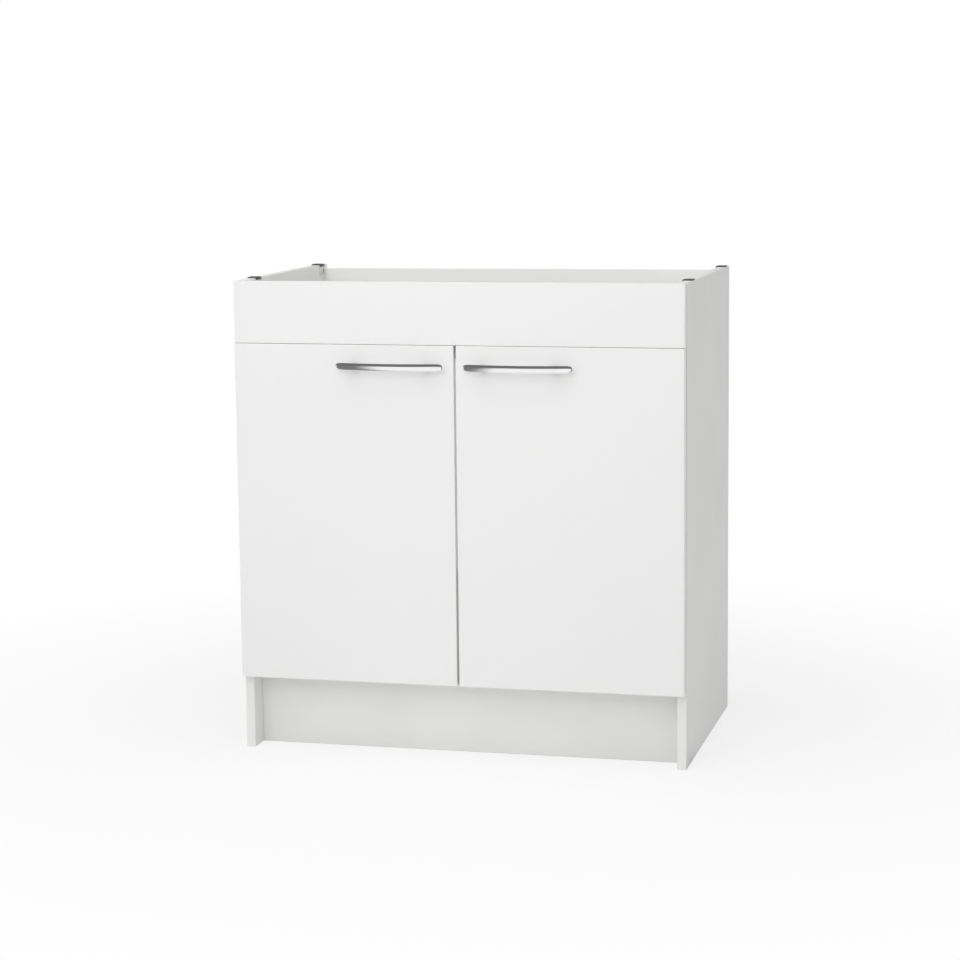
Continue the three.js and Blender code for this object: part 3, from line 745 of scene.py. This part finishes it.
def select(piece: Piece, kind: Element, test: Callable[..., bool]) -> None:
    """Select the faces or edges that pass a test, in edit mode.

    Args:
        piece: The object in edit mode.
        kind: Faces or edges.
        test: Tells whether one of them is wanted.
    """
    bpy.ops.mesh.select_mode(type=kind.name)
    bpy.ops.mesh.select_all(action="DESELECT")
    mesh = bmesh.from_edit_mesh(piece.data)
    for element in getattr(mesh, kind.value):
        if test(element):
            element.select_set(True)
    mesh.select_flush_mode()
    bmesh.update_edit_mesh(piece.data)


def looks_down(face: bmesh.types.BMFace) -> bool:
    """Whether a face looks to the floor."""
    return face.normal.z < -0.9


def heights(edge: bmesh.types.BMEdge) -> list[float]:
    """Heights of an edge's ends."""
    return [end.co.z for end in edge.verts]


def extrude(*shift: float) -> None:
    """Extrude what is selected by a shift along X, Y and Z."""
    bpy.ops.mesh.extrude_region_move(TRANSFORM_OT_translate={"value": shift})


def resize(scale: Point, centre: Point) -> None:
    """Scale what is selected about a centre."""
    bpy.ops.transform.resize(value=scale, center_override=centre)


def face_out(piece: Piece) -> None:
    """Turn all faces of a closed piece outwards.

    Args:
        piece: The object.
    """
    edit(piece, "SELECT")
    bpy.ops.mesh.normals_make_consistent(inside=False)
    object_mode()


def apply_modifier(piece: Piece, kind: str, **settings: object) -> None:
    """Add a modifier, set it up and apply it.

    Args:
        piece: The object.
        kind: The modifier's type.
        settings: Properties to set on the modifier.
    """
    pick(piece)
    modifier = piece.modifiers.new(kind.lower(), kind)
    for name, value in settings.items():
        setattr(modifier, name, value)
    bpy.ops.object.modifier_apply(modifier=modifier.name)


def combine(piece: Piece, tool: Piece, operation: str) -> None:
    """Join a tool to a piece with UNION, or take it away with DIFFERENCE."""
    apply_modifier(piece, "BOOLEAN", operation=operation, solver="EXACT", object=tool)
    bpy.data.objects.remove(tool)


def smooth(piece: Piece, degrees: float) -> None:
    """Shade smooth, with edges sharper than the angle kept."""
    pick(piece)
    bpy.ops.object.shade_smooth_by_angle(angle=math.radians(degrees))


def eased(piece: Piece, width: float, degrees: float, steps: int = 2) -> None:
    """Round a piece's edges and shade it smooth.

    Args:
        piece: The object.
        width: Width of the rounding.
        degrees: Only edges sharper than this are rounded.
        steps: Faces across the rounding.
    """
    apply_modifier(
        piece, "BEVEL", width=width, segments=steps, limit_method="ANGLE",
        angle_limit=math.radians(degrees), harden_normals=False, use_clamp_overlap=True,
    )
    smooth(piece, EASED_ANGLE)


def copied(piece: Piece) -> Piece:
    """Copy a piece.

    Args:
        piece: The object.

    Returns:
        The copy, with its own mesh.
    """
    twin = piece.copy()
    twin.data = piece.data.copy()
    twin.parent = None
    bpy.context.scene.collection.objects.link(twin)
    return twin


def clean_copy(node: str) -> Piece:
    """Copy a solid with its loose triangles merged and its flat faces made whole.

    Args:
        node: The solid.

    Returns:
        The copy.
    """
    piece = copied(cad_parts[node])
    for key in [key for key in piece.keys() if key.startswith("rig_")]:
        del piece[key]
    edit(piece, "SELECT")
    bpy.ops.mesh.remove_doubles(threshold=MERGE_DISTANCE)
    bpy.ops.mesh.dissolve_limited(angle_limit=math.radians(FLAT_ANGLE))
    object_mode()
    return piece


def moved(piece: Piece, placement: Matrix) -> Piece:
    """Place a piece and put that place in its mesh.

    Args:
        piece: The object.
        placement: Where it goes from where it is.

    Returns:
        The piece.
    """
    piece.matrix_world = placement @ piece.matrix_world
    apply_place(piece)
    return piece


def along(axis: Point, position: Point, turn: float = 0.0) -> Matrix:
    """Placement that points local +Z along an axis.

    Args:
        axis: Where local +Z goes.
        position: Where the local origin goes.
        turn: Turn about local Z first, in radians.

    Returns:
        The placement.
    """
    aim = Vector((0, 0, 1)).rotation_difference(Vector(axis)).to_matrix().to_4x4()
    return Matrix.Translation(position) @ aim @ Matrix.Rotation(turn, 4, "Z")


def dress(
    piece: Piece, name: str, body: str, material: Material, nodes: Sequence[str] = (),
) -> None:
    """Name a finished piece, give it its material and tie it to its body.

    Args:
        piece: The object.
        name: Its name.
        body: The body that it moves with.
        material: The material.
        nodes: Solids that it stands for.
    """
    object_mode()
    piece.name = name
    piece.data.name = name
    piece.data.materials.clear()
    piece.data.materials.append(material)
    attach(piece, body)
    if nodes:
        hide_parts(*nodes)
    log.info("%s: %d faces", name, len(piece.data.polygons))


def dress_solid(node: str, material: Material) -> None:
    """Give a solid that stays its material.

    Args:
        node: The solid.
        material: The material.
    """
    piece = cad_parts[node]
    piece.data.materials.clear()
    piece.data.materials.append(material)
    log.info("%s: solid kept", node)


# ------ Sub-assemblies ------


@dataclass
class Boards:
    """The boards of the carcass and the fronts.

    All but the fascia are kept as solids. The fascia comes down to a fine joint over the doors.

    Attributes:
        joint: Joint that shows between the fascia and the doors.
        lower_edge: Height of the fascia's lower edge with its eased arrises.
    """

    joint: float = 0.5 * MM
    lower_edge: float = 2 * MM

    def build(self) -> None:
        """Dress every board."""
        for side in Side:
            panel, door = f"side_panel_{side.value}", f"door_{side.value}"
            dress_solid(panel, CARCASS_WHITE.fitted(panel, (1, 0, 0), (DOWN, BACK)))
            dress_solid(door, FRONT_WHITE.fitted(door, BACK))
        dress_solid("bottom_panel", CARCASS_WHITE.fitted("bottom_panel", (0, 0, 1), (BACK,)))
        for board in ("front_rail", "rear_rail_upper", "rear_rail_lower", "plinth_board"):
            dress_solid(board, CARCASS_WHITE.fitted(board, BACK, (DOWN,)))
        self._fascia()

    def _fascia(self) -> None:
        """Fit the fascia with its lower edge close over the doors."""
        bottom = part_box("fascia")[0].z
        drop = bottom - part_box("door_left")[1].z - self.joint
        board = clean_copy("fascia")
        edit(board)
        select(board, Element.EDGE, lambda edge: max(heights(edge)) < bottom + self.lower_edge)
        bpy.ops.transform.translate(value=(0, 0, -drop))
        material = FRONT_WHITE.fitted("fascia", BACK)
        dress(board, "fascia_fitted", "carcass", material, ["fascia"])


@dataclass
class BowHandle:
    """An arched bar on two feet.

    Attributes:
        side: The door that it is on.
        length: End to end.
        feet: Foot to foot.
        height: Height of the bar.
        thickness: Thickness of the bar.
        projection: Face of the bar from the door, in the middle.
        bow: How far the ends fall back.
        nose: Share of each half that rounds off at the end.
        nose_end: Size of the very end against the full section.
        nose_inset: Rim of the last section before it closes.
        foot_radius: Radius of a foot.
        flare_radius: Radius of a foot on the door.
        steps: Sections along half the bar.
        section_sides: Sides of the bar's section before it is subdivided.
        foot_sides: Sides of a foot.
    """

    side: Side
    length: float = 192 * MM
    feet: float = 128 * MM
    height: float = 13 * MM
    thickness: float = 5.2 * MM
    projection: float = 30 * MM
    bow: float = 13 * MM
    nose: float = 0.1
    nose_end: float = 0.36
    nose_inset: float = 0.5 * MM
    foot_radius: float = 4.4 * MM
    flare_radius: float = 6 * MM
    steps: int = 12
    section_sides: int = 16
    foot_sides: int = 24

    def _middle_line(self, share: float) -> float:
        """Distance of the bar's middle line from the door, at a share of the half length."""
        return self.projection - self.thickness / 2 - self.bow * share * share

    def _taper(self, share: float) -> float:
        """Size of the section at a share of the half length, against the full one."""
        into = max(0.0, (share - (1 - self.nose)) / self.nose)
        return self.nose_end + (1 - self.nose_end) * math.sqrt(max(0.0, 1 - into * into))

    def _bar(self) -> Piece:
        """Half the bar extruded section by section, then mirrored.

        Returns:
            The bar.
        """
        bar = primitive(
            bpy.ops.mesh.primitive_circle_add, vertices=self.section_sides, radius=1.0,
            rotation=(0, math.pi / 2, 0),
        )
        edit(bar, "SELECT")
        resize((1, self.thickness / 2, self.height / 2), ORIGIN)
        bpy.ops.transform.translate(value=(0, -self._middle_line(0), 0))
        shares = [math.sin(k / self.steps * math.pi / 2) for k in range(self.steps + 1)]
        for before, share in zip(shares, shares[1:]):
            fall = self._middle_line(before) - self._middle_line(share)
            extrude((share - before) * self.length / 2, fall, 0)
            scale = self._taper(share) / self._taper(before)
            centre = (share * self.length / 2, -self._middle_line(share), 0)
            resize((1, scale, scale), centre)
        bpy.ops.mesh.edge_face_add()
        bpy.ops.mesh.inset(thickness=self.nose_inset)
        apply_modifier(
            bar, "MIRROR", use_axis=(True, False, False), use_clip=True, merge_threshold=1e-5
        )
        apply_modifier(bar, "SUBSURF", levels=2, render_levels=2)
        face_out(bar)
        return bar

    def _foot(self, place: float) -> Piece:
        """A foot turned up from the door into the bar, flared at both ends.

        Args:
            place: Its middle along the handle.

        Returns:
            The foot.
        """
        reach = self._middle_line(abs(place) / (self.length / 2))
        foot_radius, flare_radius = self.foot_radius, self.flare_radius
        height_and_radius = [
            (0.0, flare_radius),
            (0.9 * MM, flare_radius),
            (1.5 * MM, flare_radius * 0.95),
            (3.2 * MM, foot_radius * 1.12),
            (6 * MM, foot_radius),
            (reach - 7 * MM, foot_radius),
            (reach - 3.4 * MM, foot_radius * 1.1),
            (reach - 1.4 * MM, flare_radius * 0.93),
            (reach, flare_radius * 0.8),
        ]
        foot = primitive(
            bpy.ops.mesh.primitive_circle_add, vertices=self.foot_sides, radius=flare_radius,
            fill_type="NGON", rotation=(math.pi / 2, 0, 0),
        )
        edit(foot, "SELECT")
        for (before, old), (height, new) in zip(height_and_radius, height_and_radius[1:]):
            extrude(0, before - height, 0)
            resize((new / old, 1, new / old), (0, -height, 0))
        face_out(foot)
        return moved(foot, Matrix.Translation((place, 0, 0)))

    def build(self, chrome: Material) -> None:
        """Build the handle in its place on the door.

        Args:
            chrome: Finish of the handle.
        """
        node = f"handle_{self.side.value}"
        middle = box_middle(node)
        feet = [self._foot(end * self.feet / 2) for end in (-1, 1)]
        handle = self._bar()
        pick(handle, *feet)
        bpy.ops.object.join()
        moved(handle, Matrix.Translation((middle.x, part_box(node)[1].y, middle.z)))
        smooth(handle, degrees=60.0)
        body = f"door_{self.side.value}"
        dress(handle, f"bow_{node}", body, chrome, [node])


@dataclass(frozen=True)
class CrossRecess:
    """A tapered cross cut into a screw head.

    Attributes:
        length: Length of each arm, end to end.
        width: Width of each arm.
        taper: Floor of the cross against its mouth.
    """

    length: float = 4.4 * MM
    width: float = 0.95 * MM
    taper: float = 0.45

    def cut(self, piece: Piece, placement: Matrix, depth: float) -> None:
        """Cut the cross into a piece.

        Args:
            piece: The piece.
            placement: Place of the mouth, with Z out of it.
            depth: Depth of the cross.
        """
        arms = []
        for turn in (0.0, math.pi / 2):
            scale = (self.length, self.width, depth * 2)
            cube = bpy.ops.mesh.primitive_cube_add
            arm = primitive(cube, scale, size=1.0, rotation=(0, 0, turn))
            edit(arm)
            select(arm, Element.FACE, looks_down)
            resize((self.taper, self.taper, 1), (0, 0, -depth))
            arms.append(arm)
        combine(arms[0], arms[1], "UNION")
        combine(piece, moved(arms[0], placement), "DIFFERENCE")


@dataclass
class CrossScrew:
    """A screw with a domed head, modelled with its head's underside at 0.

    Attributes:
        head_radius: Radius of the head.
        head_height: Height of the head.
        length: Length of the shank.
        recess: The cross in the head.
        recess_share: Depth of the cross against the head's height.
        shank_radius: Radius of the shank.
        dome: Share of the head's height that is rounded.
        tip: Size of the shank's end against the shank.
        model: The screw that the copies come from, once it is modelled.
    """

    head_radius: float = 4 * MM
    head_height: float = 2.4 * MM
    length: float = 12 * MM
    recess: CrossRecess = CrossRecess()
    recess_share: float = 0.6
    shank_radius: float = 1.9 * MM
    dome: float = 0.62
    tip: float = 0.25
    model: Piece | None = field(default=None, init=False)

    def _model(self) -> Piece:
        """Model one screw at the origin, head up.

        Returns:
            The screw.
        """
        height = self.head_height
        screw = primitive(
            bpy.ops.mesh.primitive_cylinder_add, vertices=32, radius=self.head_radius,
            depth=height, location=(0, 0, height / 2),
        )
        edit(screw)
        select(screw, Element.EDGE, lambda edge: min(heights(edge)) > height / 2)
        bpy.ops.mesh.bevel(offset=height * self.dome, segments=5, profile=0.55)
        select(screw, Element.FACE, looks_down)
        bpy.ops.mesh.inset(thickness=self.head_radius - self.shank_radius)
        extrude(0, 0, -self.length)
        extrude(0, 0, -self.shank_radius)
        resize((self.tip, self.tip, 1), (0, 0, -self.length - self.shank_radius))
        top = Matrix.Translation((0, 0, height))
        self.recess.cut(screw, top, height * self.recess_share)
        smooth(screw, degrees=32.0)
        return screw

    def place(
        self, name: str, body: str, position: Point, axis: Point, material: Material,
        turn: float = 0.0, nodes: Sequence[str] = (),
    ) -> None:
        """Set a copy of the screw in its place.

        Args:
            name: Name of the piece.
            body: Body that it moves with.
            position: Middle of the head's underside.
            axis: Where the head looks.
            material: The finish.
            turn: Turn of the cross, in radians.
            nodes: Solids that it stands for.
        """
        if self.model is None:
            self.model = self._model()
        piece = moved(copied(self.model), along(axis, position, turn))
        dress(piece, name, body, material, nodes)

    def done(self) -> None:
        """Remove the screw that the copies came from."""
        bpy.data.objects.remove(self.model)
        self.model = None


@dataclass
class Screws:
    """The screws behind the fascia and in the handles.

    Attributes:
        start: Turn of the first cross less its step, in radians.
        fascia_step: Turn from the last cross to that of a fascia screw.
        handle_step: Turn from the last cross to that of a handle screw.
    """

    start: float = 0.3
    fascia_step: float = 0.9
    handle_step: float = 0.7

    def build(self, steel: Material) -> None:
        """Place the screws, each cross turned on from the last.

        Args:
            steel: Finish of the screws.
        """
        screw = CrossScrew()
        turn = self.start
        for side in Side:
            fascia = [(f"fascia_screw_{row.value}", "carcass", self.fascia_step) for row in Row]
            door = f"door_{side.value}"
            handle = [(f"handle_screw_{foot.value}", door, self.handle_step) for foot in Foot]
            for name, body, step in fascia + handle:
                turn += step
                node = f"{name}_{side.value}"
                middle = box_middle(node)
                head = (middle.x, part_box(node)[1].y - screw.head_height, middle.z)
                screw.place(f"{node}_cross", body, head, BACK, steel, turn, [node])
        screw.done()


@dataclass
class Clips:
    """Clips over the side panels, dark on top and pale below, with a screw into the panel.

    Attributes:
        rounding: Rounding of the clip's edges.
        drop: Screw below the top of the clip.
        seat: How deep the screw's head sits in the boss.
        cap: Height of the dark part.
        turn: Turn of the cross, in radians.
        screw: The screw.
    """

    rounding: float = 0.45 * MM
    drop: float = 13 * MM
    seat: float = 0.2 * MM
    cap: float = 5 * MM
    turn: float = 0.4
    screw: CrossScrew = field(default_factory=lambda: CrossScrew(
        head_radius=3.2 * MM, head_height=1.6 * MM, length=9 * MM,
        recess=CrossRecess(length=3.4 * MM, width=0.8 * MM),
    ))

    @staticmethod
    def _pale_below(clip: Piece, height: float, pale: Material) -> None:
        """Give a clip its pale material below a height, with an edge cut there.

        Args:
            clip: The clip.
            height: The height.
            pale: The material.
        """
        edit(clip, "SELECT")
        bpy.ops.mesh.bisect(plane_co=(0, 0, height), plane_no=(0, 0, 1))
        object_mode()
        clip.data.materials.append(pale)
        for face in clip.data.polygons:
            face.material_index = int(face.center.z < height)

    def build(self, dark: Material, pale: Material, steel: Material) -> None:
        """Build the four clips and their screws.

        Args:
            dark: Finish of the upper part.
            pale: Finish of the lower part.
            steel: Finish of the screws.
        """
        for side in Side:
            for end in End:
                node = f"sink_clip_{end.value}_{side.value}"
                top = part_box(node)[1].z
                clip = clean_copy(node)
                eased(clip, self.rounding, degrees=50.0)
                dress(clip, f"{node}_moulded", "carcass", dark, [node])
                self._pale_below(clip, top - self.cap, pale)
                face = side.inner_face(node) + side.sign * self.seat
                head = (face, box_middle(node).y, top - self.drop)
                inwards = (-side.sign, 0, 0)
                self.screw.place(f"{node}_screw", "carcass", head, inwards, steel, self.turn)
        self.screw.done()


@dataclass
class Brackets:
    """Plinth brackets with rounded edges and their screws.

    Attributes:
        rounding: Rounding of the bracket's edges.
        inset: Screws from the corner.
        pitch: Lower screw to upper screw.
        thickness: Thickness of a leg.
        plinth_turn: Turn of the crosses on the plinth board, in radians.
        side_turn: Turn of the crosses on the side panel, in radians.
        screw: The screw.
    """

    rounding: float = 0.5 * MM
    inset: float = 14 * MM
    pitch: float = 20 * MM
    thickness: float = 3 * MM
    plinth_turn: float = 0.6
    side_turn: float = 0.2
    screw: CrossScrew = field(default_factory=lambda: CrossScrew(
        head_radius=3.6 * MM, head_height=1.9 * MM, length=11 * MM,
        recess=CrossRecess(length=3.8 * MM, width=0.85 * MM),
    ))

    def build(self, plastic: Material, steel: Material) -> None:
        """Build both brackets and their screws.

        Args:
            plastic: Finish of the brackets.
            steel: Finish of the screws.
        """
        for side in Side:
            node = f"plinth_bracket_{side.value}"
            bracket = clean_copy(node)
            eased(bracket, self.rounding, degrees=50.0)
            dress(bracket, f"{node}_moulded", "carcass", plastic, [node])
            corner, plinth, inwards = side.outer_face(node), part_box(node)[0].y, -side.sign
            for row in Row:
                height = box_middle(node).z + row.sign * self.pitch / 2
                for to, along_x, along_y, axis, turn in (
                    ("plinth", self.inset, self.thickness, BACK, self.plinth_turn),
                    ("side", self.thickness, self.inset, (inwards, 0, 0), self.side_turn),
                ):
                    head = (corner + inwards * along_x, plinth + along_y, height)
                    name = f"{node}_screw_{row.value}_{to}"
                    self.screw.place(name, "carcass", head, axis, steel, turn)
        self.screw.done()


@dataclass(frozen=True)
class HingePiece:
    """A pressed piece of the lower left hinge, with the screw heads that it carries.

    Attributes:
        name: Its name in the solids.
        moves: Whether it turns with the door.
        head: Place of the heads, from the cabinet's side and from the carcass front.
        pitch: Lower head to upper head, or 0 for a single one.
        axis: Where the heads look.
        depth: Depth of their crosses.
    """

    name: str
    moves: bool = False
    head: tuple[float, float] | None = None
    pitch: float = 0.0
    axis: Point = (1, 0, 0)
    depth: float = 1 * MM


@dataclass
class Hinges:
    """Four concealed hinges, modelled once at the lower left and copied.

    Attributes:
        rounding: Rounding of pressed edges.
        recess: The cross in the screw heads.
        turn: Turn of the crosses, in radians.
        pieces: The pieces of a hinge.
    """

    rounding: float = 0.22 * MM
    recess: CrossRecess = CrossRecess(length=4.6 * MM)
    turn: float = 0.5
    pieces: Sequence[HingePiece] = (
        HingePiece(
            "cup", moves=True, head=(31 * MM, -1.5 * MM), pitch=48 * MM, axis=BACK,
            depth=0.55 * MM,
        ),
        HingePiece("plate", head=(18.8 * MM, 37 * MM), pitch=32 * MM, depth=0.55 * MM),
        HingePiece("arm", head=(30.8 * MM, 22 * MM)),
        HingePiece("screw", head=(32 * MM, 50 * MM)),
        HingePiece("pin", moves=True),
    )

    def _heads(self, piece: HingePiece) -> list[Point]:
        """Middles of the screw heads on a piece of the lower left hinge.

        Args:
            piece: The piece.

        Returns:
            The middles.
        """
        if piece.head is None:
            return []
        x = Side.LEFT.outer_face("side_panel_left") + piece.head[0]
        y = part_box("side_panel_left")[0].y + piece.head[1]
        z = box_middle("hinge_pin_lower_left").z
        ends = (-1, 1) if piece.pitch else (0,)
        return [(x, y, z + end * piece.pitch / 2) for end in ends]

    def _spread(self, model: Piece, piece: HingePiece, steel: Material) -> None:
        """Copy a modelled piece of the lower left hinge to all four hinges.

        Args:
            model: The modelled piece.
            piece: What it is.
            steel: Its finish.
        """
        height = box_middle("hinge_pin_lower_left").z
        level = Matrix.Translation((0, 0, height))
        half_turn = level @ Matrix.Rotation(math.pi, 4, "Y") @ level.inverted()
        for side in Side:
            for row in Row:
                hinge = f"{row.value}_{side.value}"
                lift = box_middle(f"hinge_pin_{hinge}").z - height
                placement = Matrix.Translation((0, 0, lift))
                if side is Side.RIGHT:
                    placement = placement @ half_turn
                copy = moved(copied(model), placement)
                node = f"hinge_{piece.name}_{hinge}"
                body = f"door_{side.value}" if piece.moves else "carcass"
                dress(copy, f"{node}_pressed", body, steel, [node])
        bpy.data.objects.remove(model)

    def build(self, steel: Material) -> None:
        """Build all hinge pieces.

        Args:
            steel: Their finish.
        """
        for piece in self.pieces:
            model = clean_copy(f"hinge_{piece.name}_lower_left")
            for head in self._heads(piece):
                self.recess.cut(model, along(piece.axis, head, self.turn), piece.depth)
            eased(model, self.rounding, degrees=45.0)
            self._spread(model, piece, steel)


@dataclass
class SmallParts:
    """Cam locks, kept as solids, and door buffers.

    Attributes:
        buffer_rounding: Rounding of a buffer's edges.
    """

    buffer_rounding: float = 0.6 * MM

    def build(self, zinc: Material, rubber: Material) -> None:
        """Dress the cam locks and model the buffers.

        Args:
            zinc: Finish of the cam locks.
            rubber: Finish of the buffers.
        """
        for node in sorted(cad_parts):
            if node.startswith("cam_lock"):
                dress_solid(node, zinc)
        for side in Side:
            for row in Row:
                node = f"door_buffer_{row.value}_{side.value}"
                buffer = clean_copy(node)
                eased(buffer, self.buffer_rounding, degrees=20.0, steps=3)
                dress(buffer, f"{node}_soft", "carcass", rubber, [node])


# ------ Studio ------


@dataclass(frozen=True)
class Panel:
    """A broad soft panel of light, which metal doesn't mirror.

    Attributes:
        name: Name of the lamp.
        place: Its middle.
        aim: Where it points.
        width: Its width and height.
        power: Its power.
    """

    name: str
    place: Point
    aim: Point
    width: float
    power: float

    def build(self) -> None:
        """Set up the lamp."""
        panel = bpy.data.lights.new(self.name, "AREA")
        panel.shape = "SQUARE"
        panel.size = self.width
        panel.energy = self.power
        lamp = bpy.data.objects.new(self.name, panel)
        bpy.context.scene.collection.objects.link(lamp)
        lamp.matrix_world = along(tuple(Vector(self.place) - Vector(self.aim)), self.place)
        lamp.visible_glossy = False


@dataclass
class Studio:
    """Floor, light and camera.

    Attributes:
        yaw: Camera's turn to the left, in degrees.
        pitch: Camera's tilt down, in degrees.
        roll: Camera's roll, in degrees.
        eye: Camera's place.
        focal: Focal length in pixels of the photograph's frame.
        axis_pixel: Where the camera's axis meets the frame, in pixels.
        view_reach: Distance up to which the camera sees.
        floor_size: Width of the floor.
        floor_drop: Floor below the feet, so that the two faces don't fight.
        floor_colour: Colour of the floor.
        floor_roughness: Roughness of the floor.
        floor_specular: Specular level of the floor.
        near_white: Share of plain white that the camera sees in the floor at the object.
        white_from: Distance at which that share starts to rise.
        white_beyond: Distance beyond which the floor is plain white.
        ambient: Level of the soft light from all round, at the horizon.
        zenith: Level of that light overhead.
        sky: Two rises of the direction, between which the light falls to that level.
        overhead: Level that metal mirrors from above.
        ceiling: Two rises of the direction, between which the mirrored level falls to that.
        flag_level: Level that metal mirrors from two dark flags beside the camera.
        flag_middle: Level direction of the gap between the flags.
        flag_edges: Cosines of the angles from there at which a flag ends, from far to near.
        key: The key light, from the front left.
        top: The top light.
    """

    yaw: float = 14.5
    pitch: float = 8.3
    roll: float = -0.65
    eye: Point = (1.085, -4.367, 1.127)
    focal: float = 2497.0
    axis_pixel: tuple[float, float] = (465.0, 477.0)
    view_reach: float = 200.0
    floor_size: float = 40.0
    floor_drop: float = 0.4 * MM
    floor_colour: Colour = grey(0.88)
    floor_roughness: float = 0.9
    floor_specular: float = 0.1
    near_white: float = 0.74
    white_from: float = 0.35
    white_beyond: float = 1.7
    ambient: float = 0.88
    zenith: float = 0.04
    sky: tuple[float, float] = (0.15, 0.95)
    overhead: float = 0.16
    ceiling: tuple[float, float] = (0.02, 0.2)
    flag_level: float = 0.2
    flag_middle: Point = (0.12, -0.993, 0)
    flag_edges: tuple[float, float, float, float] = (0.2, 0.5, 0.72, 0.9)
    key: Panel = Panel(
        "Key light", place=(-0.4, -2.7, 2.2), aim=(0, -0.2, 0.7), width=2.0, power=26.0
    )
    top: Panel = Panel(
        "Top light", place=(0, -0.8, 3.4), aim=(0, -0.2, 0.42), width=2.6, power=58.0
    )

    def _camera(self) -> None:
        """Set the camera at the photograph's angle."""
        yaw, pitch, roll = (math.radians(v) for v in (self.yaw, self.pitch, self.roll))
        forward = Vector((
            -math.sin(yaw) * math.cos(pitch), math.cos(yaw) * math.cos(pitch), -math.sin(pitch)
        ))
        right = Vector((math.cos(yaw), math.sin(yaw), 0))
        up = right.cross(forward)
        level_right = right * math.cos(roll) + up * math.sin(roll)
        level_up = up * math.cos(roll) - right * math.sin(roll)
        data = bpy.data.cameras.new("Camera")
        data.sensor_width = SENSOR_WIDTH_MM
        data.lens = self.focal * SENSOR_WIDTH_MM / PHOTO_PIXELS
        data.shift_x = (PHOTO_PIXELS / 2 - self.axis_pixel[0]) / PHOTO_PIXELS
        data.shift_y = (self.axis_pixel[1] - PHOTO_PIXELS / 2) / PHOTO_PIXELS
        data.clip_end = self.view_reach
        camera = bpy.data.objects.new("Camera", data)
        bpy.context.scene.collection.objects.link(camera)
        turn = Matrix((level_right, level_up, -forward)).transposed().to_4x4()
        camera.matrix_world = Matrix.Translation(self.eye) @ turn
        bpy.context.scene.camera = camera

    @staticmethod
    def _rays(graph: Graph) -> tuple[Socket, Socket]:
        """Tell rays apart.

        Args:
            graph: The graph that needs to know.

        Returns:
            1 for a ray from the camera, and 1 for a ray from a mirror or through glass.
        """
        path = graph.add("LightPath").outputs
        mirrored = graph.math("MAXIMUM", path["Is Glossy Ray"], path["Is Transmission Ray"])
        return path["Is Camera Ray"], mirrored

    def _mirrored_level(self, graph: Graph, direction: Socket) -> Socket:
        """Brightness that metal mirrors from a level direction: white but for the flags.

        Args:
            graph: The graph that needs it.
            direction: The direction.

        Returns:
            The brightness.
        """
        angle = graph.measure("DOT_PRODUCT", direction, self.flag_middle)
        far_end, far_start, near_start, near_end = self.flag_edges
        return graph.math(
            "MAXIMUM", graph.ramp(angle, far_end, far_start, 1.0, self.flag_level),
            graph.ramp(angle, near_start, near_end, self.flag_level, 1.0),
        )

    def _floor(self) -> None:
        """Lay a pale floor that fades to plain white away from the object."""
        floor = primitive(
            bpy.ops.mesh.primitive_plane_add, size=self.floor_size,
            location=(0, 0, -self.floor_drop),
        )
        floor.name = "floor"
        surface = Surface("Pale floor")
        shader = surface.fill(
            surface.shader, Base_Color=self.floor_colour, Roughness=self.floor_roughness,
            Specular_IOR_Level=self.floor_specular,
        )
        distance = surface.measure("LENGTH", surface.place)
        far = surface.ramp(distance, self.white_from, self.white_beyond, self.near_white, 1.0)
        camera, mirrored = self._rays(surface)
        level = self._mirrored_level(surface, surface.vector("NORMALIZE", surface.place))
        glow = surface.add("Emission")
        surface.fill(glow, Strength=surface.ramp(mirrored, 0.0, 1.0, start=1.0, end=level))
        seen = surface.math("MAXIMUM", camera, mirrored)
        share = surface.math("MULTIPLY", far, seen)
        mix = surface.add("MixShader", share, shader.outputs[0], glow.outputs[0])
        surface.fill(surface.tree.nodes["Material Output"], Surface=mix.outputs[0])
        floor.data.materials.append(surface.material)

    def _light(self) -> None:
        """Soft light from all round, a key light from the front left and a top light."""
        world = bpy.data.worlds.new("World")
        bpy.context.scene.world = world
        world.use_nodes = True
        world.node_tree.nodes.clear()
        graph = Graph(world.node_tree)
        way = graph.add("TexCoord").outputs["Generated"]
        rise = graph.add("SeparateXYZ", way).outputs["Z"]
        soft = graph.blend(graph.ramp(rise, *self.sky), grey(self.ambient), grey(self.zenith))
        level = self._mirrored_level(graph, way)
        room = graph.blend(graph.ramp(rise, *self.ceiling), level, grey(self.overhead))
        camera, mirrored = self._rays(graph)
        colour = graph.blend(camera, graph.blend(mirrored, soft, room), grey(1.0))
        background = graph.add("Background", colour)
        graph.add("OutputWorld", background.outputs[0])
        self.key.build()
        self.top.build()

    def build(self) -> None:
        """Build the studio and set the plain view transform."""
        bpy.context.scene.view_settings.view_transform = "Standard"
        self._camera()
        self._floor()
        self._light()


def main() -> None:
    """Build and dress the whole cabinet, piece by piece."""
    logging.basicConfig(level=logging.INFO, format="%(name)s %(message)s")
    chrome, nickel, zinc = POLISHED.build(), NICKEL.build(), ZINC.build()
    dark, pale, soft = DARK_PLASTIC.build(), PALE_PLASTIC.build(), SOFT_BUFFER.build()
    Studio().build()
    Boards().build()
    for side in Side:
        BowHandle(side).build(chrome)
    Screws().build(nickel)
    Clips().build(dark, pale, nickel)
    Brackets().build(pale, nickel)
    Hinges().build(nickel)
    SmallParts().build(zinc, soft)


if __name__ == "__main__":
    main()
